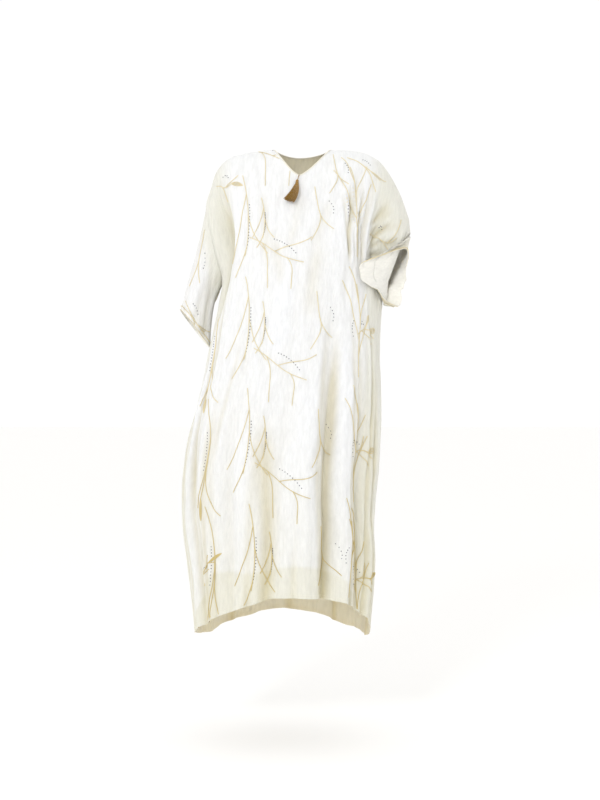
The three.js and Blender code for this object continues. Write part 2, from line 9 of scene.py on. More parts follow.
import bmesh
import bpy
import numpy as np
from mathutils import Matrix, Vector


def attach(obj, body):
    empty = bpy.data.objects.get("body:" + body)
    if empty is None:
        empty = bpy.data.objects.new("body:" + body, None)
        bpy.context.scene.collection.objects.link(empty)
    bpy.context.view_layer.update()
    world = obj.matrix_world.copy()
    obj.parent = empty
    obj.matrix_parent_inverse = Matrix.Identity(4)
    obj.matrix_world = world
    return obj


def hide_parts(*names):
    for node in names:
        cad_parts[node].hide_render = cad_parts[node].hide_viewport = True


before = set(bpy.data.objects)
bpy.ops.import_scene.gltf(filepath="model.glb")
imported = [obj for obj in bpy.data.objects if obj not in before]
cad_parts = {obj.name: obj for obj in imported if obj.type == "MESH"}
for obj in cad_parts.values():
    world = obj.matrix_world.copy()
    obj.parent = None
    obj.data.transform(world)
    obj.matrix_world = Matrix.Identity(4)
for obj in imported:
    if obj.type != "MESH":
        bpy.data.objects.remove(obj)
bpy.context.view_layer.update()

# ------------------------------------------------------------------ named sizes
METRE = 0.001
NECK_S = 0.185  # where the neckline meets the shoulder seam, as a share of the half width
NECK_DROP = {"front": 78.0, "back": 16.0}
NECK_ROUND = {"front": 1.5, "back": 2.0}
ARCH_T = 0.05  # share of the length over which the cloth rounds the shoulder
ARMHOLE_T = 0.175
ARMHOLE_GAP = {"right": 64.0, "left": 72.0}
VOILE = 0.8  # how thick the cloth is drawn
TURNED = {"rows": 5, "out": 0.55, "thicker": 1.2}  # the turned-up hem pushes the cloth out
SEAM = 0.22  # each sewn edge stops this far short of its seam line
HEM = 9.0  # depth of the turned-up hem
FOLD_HALF = 320.0  # creases are placed on a half width of this size
FLAT_LENGTH = 1180.0  # flat length of a body panel
SLEEVE_LENGTH = 262.0
SLEEVE_ROUND = 520.0
TONES = {
    # painted light: the right sleeve lightens towards its cuff; painted shade: the left sleeve
    # warms towards its cuff
    "cuff_right_painted_light": "#EAEAEA",
    "cuff_left_painted_shade": "#E5E1D2",
    "single": "#E2E1D7",
    "lined": "#ECEDEE",
    # painted shade: the colour that the deepest folds are darkened and warmed towards
    "fold": "#EFEADB",
    # painted shade: the body is darkened towards its hem by this colour
    "low": "#F7F6F0",
    # painted shade: warm tones for the inner faces, standing in for the shade inside the garment
    "body_inside_painted_shade": "#EFE6CE",
    "sleeve_inside_painted_shade": "#EFEDE5",
}
# where the slip underneath shows through the cloth: its half width, flare, hem and soft edge
LINED = {"half": 235.0, "flare": 105.0, "hem": 1120.0, "edge": 70.0}
FULL_FOLD_SHADE = 22.0  # a fold this deep, in mm, has the whole painted shade of a fold
CUFF_LIGHT_AND_SHADE = (10, 150)  # a sleeve's painted light and shade comes in between these distances from its armhole
LOW_PAINTED_SHADE = (650, 1250)  # and the body's painted shade towards the hem, between these distances from the shoulder
LOOKS_DEEP = {"fold": 0.3, "crease": 2.4}  # how strongly each counts towards the painted shade in the folds
GATHER_DEPTH = 2.0
CRINKLE_WAVES = 26
BACK_CREASES = 1.6  # the back's creases are this much deeper than their table says
TO_THE_HEM = 1140.0  # a crease that ends below this runs out through the hem
STRAY = 7.0  # how far a crease strays from a straight line
CORD = 1.05  # radius of the couched gold cord
STONE = 1.4  # radius of a sewn-on stone
STONE_STEP = 7.6
CORD_STEP = 5  # between points along a cord
CORD_LIFT, STONE_LIFT = 0.75, 0.35  # how far they stand off the cloth, as shares of their radius


def table(columns, *rows):
    """A short table with named columns, as a dictionary of arrays."""
    return dict(zip(columns.split(), np.array(rows, float).T))


def smooth_curve(rows, key, column):
    """A smooth curve through one column of a table, read at its key column."""
    x, y = rows[key], rows[column]
    here = np.arange(len(x))
    ahead, behind = np.minimum(here + 1, len(x) - 1), np.maximum(here - 1, 0)
    slope = (y[ahead] - y[behind]) / (x[ahead] - x[behind])

    def at(value):
        value = np.clip(value, x[0], x[-1])
        i = np.clip(np.searchsorted(x, value) - 1, 0, len(x) - 2)
        h = x[i + 1] - x[i]
        u = (value - x[i]) / h
        return (
            y[i] * (1 + 2 * u) * (1 - u) ** 2
            + slope[i] * h * u * (1 - u) ** 2
            + y[i + 1] * u * u * (3 - 2 * u)
            + slope[i + 1] * h * u * u * (u - 1)
        )

    return at


def ease(start, end, value):
    u = np.clip((value - start) / (end - start), 0, 1)
    return u * u * (3 - 2 * u)


# ------------------------------------------------------------------ the body's cut and hang
BODY = table(
    "t centre right left front back square",
    (0.0, -4, -247, 276, 60, 52, 0.16),
    (0.05, -6, -234, 256, 74, 64, 0.2),
    (0.1, -8, -221, 236, 102, 88, 0.32),
    (0.175, -9, -204, 210, 134, 108, 0.5),
    (0.24, -10, -214, 203, 146, 114, 0.62),
    (0.317, -12, -231, 199, 150, 117, 0.7),
    (0.46, -22, -265, 204, 151, 124, 0.78),
    (0.6, -36, -302, 198, 156, 138, 0.84),
    (0.74, -46, -307, 184, 162, 150, 0.86),
    (0.86, -48, -291, 187, 167, 158, 0.86),
    (1.0, -50, -275, 175, 170, 164, 0.86),
)
RIDGE = table(
    "s z",
    (-1.0, -157),
    (-0.79, -100),
    (-0.72, -66),
    (-0.62, -37),
    (-0.51, -18),
    (-0.38, -8),
    (-NECK_S, 0),
    (0.0, 6),
    (NECK_S, 0),
    (0.37, -6),
    (0.5, -26),
    (0.58, -52),
    (0.71, -104),
    (0.86, -162),
    (1.0, -188),
)
HEM_LINE = {
    "front": table(
        "s z",
        (-1.0, -1241),
        (-0.7, -1206),
        (-0.4, -1170),
        (-0.19, -1146),
        (-0.05, -1132),
        (0.34, -1138),
        (0.6, -1162),
        (0.85, -1206),
        (1.0, -1238),
    ),
    "back": table(
        "s z",
        (-1.0, -1241),
        (-0.7, -1251),
        (-0.35, -1221),
        (0.0, -1199),
        (0.3, -1215),
        (0.6, -1240),
        (0.85, -1253),
        (1.0, -1238),
    ),
}
# Main folds from (s0, t0) to (s1, t1): width across in s, depth in mm, minus for a trough.
FOLDS = {
    "front": table(
        "s0 t0 s1 t1 width depth fade",
        (-0.7, 0.02, -0.78, 0.36, 0.1, -26, 0.1),
        (0.64, 0.03, 0.71, 0.26, 0.09, -8, 0.07),
        (0.3, 0.05, 0.36, 0.27, 0.045, 6, 0.06),
        (0.41, 0.05, 0.46, 0.28, 0.045, 7, 0.06),
        (0.52, 0.05, 0.55, 0.28, 0.045, 6, 0.06),
        (-0.66, 0.36, -0.73, 1.2, 0.07, -16, 0.3),
        (-0.5, 0.42, -0.54, 1.2, 0.11, 13, 0.4),
        (-0.33, 0.34, -0.38, 1.2, 0.07, -12, 0.35),
        (-0.19, 0.5, -0.22, 1.2, 0.09, 12, 0.4),
        (-0.02, 0.42, -0.05, 1.2, 0.1, -14, 0.4),
        (0.13, 0.4, 0.17, 1.2, 0.11, 12, 0.4),
        (0.28, 0.28, 0.345, 1.2, 0.055, -30, 0.35),
        (0.43, 0.32, 0.48, 1.2, 0.08, 15, 0.35),
        (0.6, 0.4, 0.68, 1.2, 0.065, -18, 0.35),
        (0.78, 0.4, 0.84, 1.2, 0.07, 8, 0.3),
    ),
    "back": table(
        "s0 t0 s1 t1 width depth fade",
        (-0.7, 0.02, -0.74, 0.34, 0.1, -20, 0.1),
        (0.64, 0.02, 0.72, 0.32, 0.1, -18, 0.1),
        (-0.6, 0.3, -0.66, 1.2, 0.08, -17, 0.4),
        (-0.44, 0.36, -0.46, 1.2, 0.09, 13, 0.4),
        (-0.24, 0.22, -0.28, 1.2, 0.08, -20, 0.5),
        (-0.07, 0.3, -0.09, 1.2, 0.09, 14, 0.5),
        (0.1, 0.2, 0.12, 1.2, 0.08, -18, 0.5),
        (0.27, 0.34, 0.3, 1.2, 0.09, 13, 0.4),
        (0.44, 0.26, 0.5, 1.2, 0.08, -21, 0.45),
        (0.66, 0.4, 0.72, 1.2, 0.09, 11, 0.4),
    ),
}
# Creases: from (a0, b0) to (a1, b1) in flat millimetres, a across from the centre line and b
# down from the shoulder; width and depth in mm.
CREASES = {
    "front": table(
        "a0 b0 a1 b1 width depth",
        # gathers that run together towards the bent arm's elbow
        (84, 90, 138, 318, 5, -5.6),
        (100, 76, 144, 318, 5, -7.5),
        (116, 66, 148, 318, 5, -8.8),
        (134, 64, 152, 318, 5, -8.8),
        (150, 68, 157, 318, 5, -8.8),
        (166, 84, 163, 318, 5, -8.8),
        (92, 82, 141, 318, 4, 4.0),
        (108, 70, 146, 318, 4, 4.5),
        (125, 64, 150, 318, 4, 4.5),
        (142, 66, 155, 318, 4, 4.5),
        # drag lines round the bent arm
        (166, 190, 226, 50, 6, -6.0),
        (178, 204, 246, 52, 6, -7.0),
        (188, 214, 266, 60, 6, -7.0),
        (198, 222, 284, 74, 6, -7.0),
        (208, 232, 300, 92, 6, -6.0),
        (172, 196, 236, 50, 5, 4.0),
        (184, 208, 256, 56, 5, 4.0),
        (194, 218, 276, 66, 5, 4.0),
        # under the hanging arm
        (-205, 60, -238, 300, 9, -5.0),
        (-232, 66, -256, 330, 8, -4.0),
        (-176, 90, -214, 330, 10, 3.5),
        # the skirt
        (-262, 470, -282, 1000, 9, -6.0),
        (-238, 420, -252, 1130, 10, 5.0),
        (-205, 620, -222, 1160, 9, -4.5),
        (-150, 560, -168, 1150, 12, -4.0),
        (-96, 700, -106, 1160, 10, 3.5),
        (-60, 640, -72, 1160, 11, -4.0),
        (46, 600, 60, 1160, 12, 4.0),
        (74, 420, 92, 1160, 9, -5.0),
        (126, 480, 146, 1160, 9, 4.0),
        (172, 420, 196, 1160, 9, -5.0),
        (236, 430, 262, 1160, 10, -6.0),
        (262, 480, 282, 1160, 9, 4.0),
        (20, 820, 30, 1160, 9, -3.0),
        (-20, 300, -34, 560, 16, 3.5),
        (60, 250, 30, 480, 18, -4.0),
        (-62, 210, -30, 420, 14, -3.0),
        (-36, 700, -44, 1190, 15, -9.0),
        (10, 760, 4, 1190, 14, 6.0),
        (-176, 640, -186, 1190, 12, -8.0),
        (-250, 600, -268, 1190, 5, -9.0),
        (-272, 640, -292, 1190, 5, -9.0),
        (-226, 700, -238, 1190, 6, -5.0),
        (150, 380, 166, 1190, 8, -7.0),
        (214, 380, 236, 1190, 7, -8.0),
        (95, 470, 109, 1200, 9, -11.0),
        (-288, 560, -306, 1150, 5, -8.0),
        (-216, 480, -232, 900, 5, -7.0),
        (-238, 380, -262, 760, 5, -8.0),
        (-196, 330, -214, 640, 6, -6.5),
        (-300, 700, -318, 1190, 5, 5.0),
        (-206, 840, -216, 1190, 5, -5.0),
        (-128, 460, -140, 820, 6, -4.0),
        (180, 640, 194, 1190, 5, -6.0),
        (254, 560, 272, 1190, 5, -6.0),
        (282, 620, 300, 1190, 5, -5.0),
        (196, 330, 214, 700, 5, 5.0),
        (0, 120, -26, 300, 12, -2.5),
        (66, 130, 44, 300, 12, -2.5),
        (-96, 100, -70, 330, 12, -3.0),
    ),
    "back": table(
        "a0 b0 a1 b1 width depth",
        (-205, 60, -236, 320, 9, -5.0),
        (-232, 70, -250, 340, 9, -4.0),
        (208, 64, 236, 330, 9, -5.0),
        (240, 80, 252, 340, 9, -4.0),
        (-120, 40, -70, 260, 16, -3.5),
        (118, 40, 66, 250, 16, -3.5),
        (-262, 470, -280, 1130, 9, -6.0),
        (-212, 520, -230, 1160, 10, 4.5),
        (-118, 560, -126, 1160, 10, -5.0),
        (-48, 620, -54, 1160, 9, 4.0),
        (8, 560, 10, 1160, 9, -4.0),
        (66, 600, 70, 1160, 10, 4.0),
        (124, 520, 132, 1160, 9, -5.0),
        (184, 600, 196, 1160, 10, 4.5),
        (258, 460, 280, 1150, 9, -6.0),
    ),
}
CROOK = (176.0, 262.0)  # where the crook of the bent arm gathers the front
GRID = {"shoulder": 92, "neck": 28, "armhole": 30, "skirt": 150}

body = {name: smooth_curve(BODY, "t", name) for name in BODY if name != "t"}
ridge_height = smooth_curve(RIDGE, "s", "z")
hem_height = {panel: smooth_curve(HEM_LINE[panel], "s", "z") for panel in HEM_LINE}


def fold_relief(panel, s, t):
    """How far the main folds move the cloth out."""
    total = np.zeros(np.broadcast(s, t).shape)
    f = FOLDS[panel]
    for n in range(len(f["s0"])):
        along = (t - f["t0"][n]) / (f["t1"][n] - f["t0"][n])
        ends = ease(0, f["fade"][n], t - f["t0"][n]) * ease(0, f["fade"][n], f["t1"][n] - t)
        off = (s - (f["s0"][n] + (f["s1"][n] - f["s0"][n]) * along)) / f["width"][n]
        total += np.where((along > 0) & (along < 1), f["depth"][n] * ends * np.exp(-off * off), 0)
    return total * (1 - s**8)


def crease_relief(creases, a, b):
    """How far the lesser creases move the cloth out, at flat millimetres a across and b down."""
    total = np.zeros(np.broadcast(a, b).shape)
    c = creases
    for n in range(len(c["a0"])):
        du, dv = c["a1"][n] - c["a0"][n], c["b1"][n] - c["b0"][n]
        length = math.hypot(du, dv)
        along = ((a - c["a0"][n]) * du + (b - c["b0"][n]) * dv) / length**2
        off = ((a - c["a0"][n]) * dv - (b - c["b0"][n]) * du) / length
        off = (off - STRAY * np.sin(3.3 * along + n)) / c["width"][n]
        ends = ease(0, 0.3, along) * (1 if c["b1"][n] > TO_THE_HEM else ease(0, 0.3, 1 - along))
        total += c["depth"][n] * ends * np.exp(-off * off)
    return total


def gathers(a, b):
    """Fine folds that fan out over the front from the crook of the bent arm."""
    across, up = a - CROOK[0], CROOK[1] - b
    far, angle = np.hypot(across, up), np.arctan2(across, up)
    wave = np.sin(31 * angle) + 0.8 * np.sin(47 * angle + 1.3) + 0.6 * np.sin(68 * angle + 0.4)
    reach = ease(15, 60, far) * ease(240, 100, far)
    reach = reach * ease(-0.75, -0.4, angle) * ease(2.0, 1.6, angle)
    return GATHER_DEPTH * wave * reach


def crinkle(a, b, seed):
    """The uneven, mostly upright crinkle that washing leaves in cotton voile."""
    random = np.random.default_rng(seed)
    total = np.zeros(np.broadcast(a, b).shape)
    turn = 6.28
    for _ in range(CRINKLE_WAVES):
        across = random.uniform(18, 70)
        down = random.uniform(160, 520)
        lean = random.uniform(-0.25, 0.25)
        phase, bend = random.uniform(0, turn, 2)
        size = random.uniform(0.25, 1.0) * across / 85
        sway = 1.6 * np.sin(turn * b / down + bend)
        total += size * np.sin(turn * ((a + lean * b) / across) + sway + phase)
    return total


def body_point(panel, s, t, plain=False):
    """Points of the cloth's outer face, and how deep in the folds they look, which sets the
    painted shade in the folds. A plain panel is the same form without its folds."""
    facing = -1 if panel == "front" else 1
    turn = s * math.pi / 2
    centre = body["centre"](t)
    reach = np.where(s < 0, centre - body["right"](t), body["left"](t) - centre)
    depth_here = body[panel](t)
    arch = np.sqrt(np.maximum(1 - (1 - np.minimum(t / ARCH_T, 1)) ** 2, 0))
    down = np.minimum(t / ARMHOLE_T, 1)
    gap = np.where(s < 0, ARMHOLE_GAP["right"], ARMHOLE_GAP["left"])
    gap = gap * 2 * np.sqrt(np.maximum(down * (1 - down), 0))
    oval = depth_here * arch * np.maximum(np.cos(turn), 1e-9) ** body["square"](t)
    armhole = gap * ease(0.5, 0.85, np.abs(s))
    relief = fold_relief(panel, s, t)
    a, b = s * FOLD_HALF, t * FLAT_LENGTH
    edge = (1 - s**8) * ease(0.0, 0.05, t)
    creases = crease_relief(CREASES[panel], a, b)
    creases = creases + gathers(a, b) if panel == "front" else creases * BACK_CREASES
    relief = relief + edge * (creases + crinkle(a, b, 7 if facing < 0 else 8))
    # how deep the folds look sets their painted shade
    tone = LOOKS_DEEP["fold"] * relief + LOOKS_DEEP["crease"] * edge * creases
    if plain:
        relief = 0 * relief
    across, deep = np.sin(turn) / reach, facing * np.cos(turn) / depth_here
    size = np.hypot(across, deep)
    ridge = ridge_height(s)
    return np.stack(
        [
            centre + reach * np.sin(turn) + relief * across / size,
            facing * (oval**4 + armhole**4) ** 0.25 + relief * deep / size,
            ridge + (hem_height[panel](s) - ridge) * t + 0 * relief,
        ],
        axis=-1,
    ), tone


def column_start(panel, s):
    """Where a column starts: on the shoulder seam, or on the neckline."""
    off = np.minimum(np.abs(s) / NECK_S, 1)
    ridge = ridge_height(s)
    start = ridge + NECK_DROP[panel] * (1 - off ** NECK_ROUND[panel])
    start = start / (ridge - hem_height[panel](s))
    return np.where(off >= 1, 0, start)


columns = np.concatenate(
    [
        np.linspace(-1, -NECK_S, GRID["shoulder"], endpoint=False),
        np.linspace(-NECK_S, NECK_S, GRID["neck"], endpoint=False),
        np.linspace(NECK_S, 1, GRID["shoulder"] + 1),
    ]
)
hem_rows = 1 - np.array([HEM + 4, HEM + 0.8, HEM - 0.8, HEM / 2, 1.2, 0]) / FLAT_LENGTH
rows = np.concatenate(
    [
        ARMHOLE_T * (1 - np.cos(np.linspace(0, math.pi, GRID["armhole"], endpoint=False))) / 2,
        np.linspace(ARMHOLE_T, 1 - (HEM + 8) / FLAT_LENGTH, GRID["skirt"]),
        hem_rows,
    ]
)


def directions(grid, closed, outward):
    """The outward direction at each point of a grid."""
    if closed:
        wide = np.concatenate([grid[:, -1:], grid, grid[:, :1]], axis=1)
        along_columns = (wide[:, 2:] - wide[:, :-2]) / 2
    else:
        along_columns = np.gradient(grid, axis=1)
    normal = np.cross(along_columns, np.gradient(grid, axis=0)) * outward
    size = np.linalg.norm(normal, axis=-1, keepdims=True)
    return normal / np.maximum(size, 1e-9)


class Cloth:
    """A piece of cloth as a grid of points, with its outward directions and its flat sizes."""

    def __init__(self, name, points, relief, flat_a, flat_b, closed, outward):
        self.name, self.points, self.relief = name, points, relief
        self.flat_a, self.flat_b, self.closed, self.outward = flat_a, flat_b, closed, outward
        self.normals = directions(points, closed, outward)

    def at(self, row, column, lift):
        """Points between the grid's own, lifted off the cloth."""
        count = self.points.shape[1]
        row = np.clip(row, 0, len(self.points) - 1.001)
        column = column % count if self.closed else np.clip(column, 0, count - 1.001)
        i, j = row.astype(int), column.astype(int)
        u, v = (row - i)[:, None], (column - j)[:, None]
        k = (j + 1) % count

        def blend(field):
            return (
                field[i, j] * (1 - u) * (1 - v)
                + field[i, k] * (1 - u) * v
                + field[i + 1, j] * u * (1 - v)
                + field[i + 1, k] * u * v
            )

        normal = blend(self.normals)
        normal /= np.maximum(np.linalg.norm(normal, axis=1, keepdims=True), 1e-9)
        return blend(self.points) + normal * lift, normal


class Flat:
    """Real distances over a plain body panel, in millimetres: a across from the centre line, b
    down from the shoulder."""

    ACROSS, DOWN = 161, 181
    MIDDLE = ACROSS // 2

    def __init__(self, panel):
        self.s, self.t = np.linspace(-1, 1, self.ACROSS), np.linspace(0, 1, self.DOWN) ** 1.5
        points = body_point(panel, *np.meshgrid(self.s, self.t), plain=True)[0]
        steps = np.linalg.norm(np.diff(points, axis=1), axis=-1)
        self.a = np.hstack([np.zeros((len(self.t), 1)), steps.cumsum(axis=1)])
        self.a -= self.a[:, self.MIDDLE : self.MIDDLE + 1]
        steps = np.linalg.norm(np.diff(points, axis=0), axis=-1)
        self.b = np.vstack([np.zeros((1, len(self.s))), steps.cumsum(axis=0)])

    def read(self, field, s, t):
        row = np.interp(t, self.t, np.arange(len(self.t))).clip(0, len(self.t) - 1.001)
        column = ((s + 1) / 2 * (len(self.s) - 1)).clip(0, len(self.s) - 1.001)
        i, j = row.astype(int), column.astype(int)
        u, v = row - i, column - j
        upper = field[i, j] * (1 - v) + field[i, j + 1] * v
        return upper * (1 - u) + (field[i + 1, j] * (1 - v) + field[i + 1, j + 1] * v) * u

    def find(self, a, b):
        """The s and t of points at distances a and b."""
        t = b / self.b[-1, self.MIDDLE]
        for _ in range(4):
            row = np.interp(t, self.t, np.arange(len(self.t))).clip(0, len(self.t) - 1.001)
            low = row.astype(int)
            lines = self.a[low] + (self.a[low + 1] - self.a[low]) * (row - low)[:, None]
            s = np.array([np.interp(value, line, self.s) for value, line in zip(a, lines)])
            near = ((s + 1) / 2 * (len(self.s) - 1)).round().astype(int)
            t = np.array([np.interp(value, self.b[:, j], self.t) for value, j in zip(b, near)])
        return s, t


FLAT = {"front": Flat("front"), "back": Flat("back")}


def body_cloth(panel):
    start = column_start(panel, columns)
    s = np.broadcast_to(columns, (len(rows), len(columns)))
    t = start[None, :] + (1 - start[None, :]) * rows[:, None]
    points, tone = body_point(panel, s, t)
    flat = FLAT[panel]
    return Cloth(
        panel + "_panel",
        points,
        tone,
        flat.read(flat.a, s, t),
        flat.read(flat.b, s, t),
        False,
        -1 if panel == "front" else 1,
    )


front, back = body_cloth("front"), body_cloth("back")


# how near to its edges a body panel is sewn on: a share of its half width and of its length,
# and millimetres above the hem
CLEAR = {"side": 0.985, "top": 0.004, "hem": 3}


def on_body(cloth, a, b, lift):
    """Points on a body panel at flat millimetres a and b, and which of them are on the cloth."""
    panel = "front" if cloth is front else "back"
    s, t = FLAT[panel].find(a, b)
    start = column_start(panel, s)
    share = (t - start) / (1 - start)
    inside = (np.abs(s) < CLEAR["side"]) & (share > CLEAR["top"])
    inside &= share < 1 - CLEAR["hem"] / FLAT_LENGTH
    point, normal = cloth.at(
        np.interp(share, rows, np.arange(len(rows))),
        np.interp(s, columns, np.arange(len(columns))),
        lift,
    )
    return point, normal, inside


# ------------------------------------------------------------------ the sleeves' cut and hang
SIDES_4 = "w top_x top_y top_z front_x front_y front_z under_x under_y under_z back_x back_y back_z"
SLEEVE_LINES = {
    "right": table(
        SIDES_4,
        (0.33, -263, 8, -225, -240, -54, -306, -224, 16, -389, -247, 78, -304),
        (0.67, -289, 20, -318, -258, -43, -374, -234, 34, -447, -268, 96, -372),
        (1.0, -315, 34, -411, -280, -30, -448, -238, 46, -510, -285, 112, -456),
    ),
    # eight lines: top, top front, front, under front, under, under back, back, top back
    "left": table(
        "w ax ay az bx by bz cx cy cz dx dy dz ex ey ez fx fy fz gx gy gz hx hy hz",
        (0.3, 278, -6, -218, 258, -66, -234, 228, -93, -283, 216, -62, -346)
        + (223, -12, -388, 238, 44, -362, 255, 74, -296, 272, 48, -238),
        (0.66, 267, -52, -240, 236, -101, -258, 194, -112, -296, 200, -86, -358)
        + (206, -54, -396, 216, -32, -372, 238, -26, -316, 270, -22, -256),
        (1.0, 230, -108, -270, 185, -130, -288, 141, -143, -315, 168, -116, -360)
        + (214, -76, -394, 254, -52, -378, 262, -62, -318, 266, -86, -267),
    ),
}
# Folds in a sleeve: around in degrees (0 top, 90 front), from w0 to w1 along it.
SLEEVE_FOLDS = {
    "right": table(
        "around0 w0 around1 w1 width depth",
        (62, 0.1, 78, 1.3, 22, 7),
        (118, 0.05, 132, 1.3, 20, -7),
        (235, 0.1, 225, 1.3, 22, -7),
        (300, 0.1, 285, 1.3, 22, 6),
        (40, 0.2, 52, 1.3, 9, -3),
        (88, 0.3, 100, 1.3, 8, -3),
        (150, 0.1, 156, 1.3, 9, 3),
        (190, 0.2, 188, 1.3, 10, -4),
        (262, 0.2, 258, 1.3, 9, 3),
        (330, 0.3, 322, 1.3, 9, -3),
    ),
    "left": table(
        "around0 w0 around1 w1 width depth",
        (300, 0.2, 60, 0.45, 26, -6),
        (320, 0.4, 110, 0.75, 24, 6),
        (150, 0.2, 160, 1.3, 18, -8),
        (215, 0.3, 205, 1.3, 18, 7),
        (205, 0.4, 207, 1.5, 9, 9),
        (232, 0.4, 230, 1.5, 8, -13),
        (252, 0.4, 250, 1.5, 8, 5),
        (150, 0.4, 146, 1.5, 9, -5),
        (20, 0.25, 70, 0.7, 9, -4),
        (350, 0.15, 40, 0.5, 9, 4),
        (10, 0.5, 84, 0.95, 10, 4),
        (330, 0.1, 50, 0.42, 6, -5),
        (340, 0.25, 64, 0.58, 6, -5),
        (350, 0.4, 76, 0.72, 6, -5),
        (0, 0.55, 92, 0.9, 6, -5),
        (335, 0.18, 56, 0.5, 5, 4),
        (345, 0.32, 70, 0.65, 5, 4),
        (96, 0.5, 112, 1.4, 7, -4),
        (120, 0.55, 118, 1.4, 6, 4),
        (236, 0.5, 262, 1.4, 7, -5),
        (270, 0.5, 248, 1.4, 6, 4),
    ),
}
SLEEVE_GRID = 48


def sleeve_cloth(side):
    """A sleeve from the body's armhole (w = 0) to the cuff (w = 1), smooth through its lines."""
    column = 0 if side == "right" else -1
    turn = GRID["armhole"]
    armhole = np.concatenate([front.points[: turn + 1, column], back.points[1:turn, column][::-1]])
    lines = SLEEVE_LINES[side]
    names = [name for name in lines if name != "w"]
    count = len(names) // 3
    around = 2 * turn
    at = np.arange(count) * around / count
    first = armhole[np.floor(at).astype(int)] * (1 - at % 1)[:, None]
    first = first + armhole[np.ceil(at).astype(int) % around] * (at % 1)[:, None]
    key = np.concatenate([[0], lines["w"]])
    angle = np.arange(around) * 2 * math.pi / around
    away = angle[:, None] - np.arange(count)[None, :] * 2 * math.pi / count
    share = 1 + np.cos(count / 2 * away)
    for k in range(1, count // 2):
        share += 2 * np.cos(k * away)
    share /= count
    cuff_rows = 1 - np.array([HEM + 4, HEM + 0.8, HEM - 0.8, HEM / 2, 1.2, 0]) / SLEEVE_LENGTH
    w = np.concatenate([np.linspace(0, 1 - (HEM + 8) / SLEEVE_LENGTH, SLEEVE_GRID), cuff_rows])
    ring = np.zeros((len(w), count, 3))
    for n, name in enumerate(names):
        column_rows = {"w": key, "v": np.concatenate([[first[n // 3, n % 3]], lines[name]])}
        ring[:, n // 3, n % 3] = smooth_curve(column_rows, "w", "v")(w)
    points = np.einsum("jn,inc->ijc", share, ring)
    start = share @ first
    points += (armhole - start)[None] * ((1 - w) ** 3)[:, None, None]
    centre = ring.mean(axis=1)
    degrees = np.degrees(angle)[None, :]
    relief = np.zeros(points.shape[:2])
    f = SLEEVE_FOLDS[side]
    for n in range(len(f["w0"])):
        along = ((w - f["w0"][n]) / (f["w1"][n] - f["w0"][n]))[:, None]
        sweep = (f["around1"][n] - f["around0"][n] + 540) % 360 - 180
        off = ((degrees - f["around0"][n] - sweep * along + 540) % 360 - 180) / f["width"][n]
        bump = f["depth"][n] * np.sin(math.pi * np.minimum(along, 0.5)) * np.exp(-off * off)
        relief += np.where((along > 0) & (along < 1), bump, 0)
    flat_a = np.broadcast_to(np.arange(around) * SLEEVE_ROUND / around, relief.shape)
    flat_b = np.broadcast_to((w * SLEEVE_LENGTH)[:, None], relief.shape)
    round_once = np.sin(np.broadcast_to(angle, relief.shape) / 2) ** 0.5
    relief = (relief + round_once * crinkle(flat_a, flat_b, 9)) * ease(0, 0.2, w)[:, None]
    out = points - centre[:, None]
    points = points + out / np.linalg.norm(out, axis=-1, keepdims=True) * relief[..., None]
    outward = -1 if side == "right" else 1
    return Cloth("sleeve_" + side, points, relief, flat_a, flat_b, True, outward)


sleeves = {side: sleeve_cloth(side) for side in SLEEVE_LINES}


def on_sleeve(cloth, a, b, lift):
    """Points on a sleeve at flat millimetres a round it and b along it, and which are on it."""
    w = b / SLEEVE_LENGTH
    inside = (w > 0.03) & (w < 0.99)
    rows_at = np.interp(w, cloth.flat_b[:, 0] / SLEEVE_LENGTH, np.arange(len(cloth.flat_b)))
    point, normal = cloth.at(rows_at, a / SLEEVE_ROUND * cloth.points.shape[1], lift)
    return point, normal, inside


# ------------------------------------------------------------------ meshes
def new_piece(name, mesh, material, node_names=()):
    piece = bpy.data.objects.new(name, mesh)
    bpy.context.scene.collection.objects.link(piece)
    mesh.materials.clear()
    mesh.materials.append(material)
    mesh.polygons.foreach_set("use_smooth", [True] * len(mesh.polygons))
    if node_names:
        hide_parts(*node_names)
    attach(piece, "root")
    return piece


def pulled_back(cloth):
    """The cloth's outer points, with each sewn edge drawn back square to its seam."""
    points = cloth.points.copy()
    if cloth.closed:
        inwards = cloth.points[1] - cloth.points[0]
        along = np.roll(cloth.points[0], -1, axis=0) - np.roll(cloth.points[0], 1, axis=0)
        points[0] += square_step(inwards, along)
        return points
    for column, inner in ((0, 1), (-1, -2)):
        along = np.gradient(cloth.points[:, column], axis=0)
        points[:, column] += square_step(cloth.points[:, inner] - cloth.points[:, column], along)
    last = GRID["shoulder"] + 1
    along = np.gradient(cloth.points[0], axis=0)
    step = square_step(cloth.points[1] - cloth.points[0], along)
    points[0, 1:last] += step[1:last]
    points[0, -last:-1] += step[-last:-1]
    return points


def square_step(inwards, along):
    along = along / np.maximum(np.linalg.norm(along, axis=1, keepdims=True), 1e-9)
    step = inwards - along * np.sum(inwards * along, axis=1, keepdims=True)
    return SEAM * step / np.maximum(np.linalg.norm(step, axis=1, keepdims=True), 1e-9)


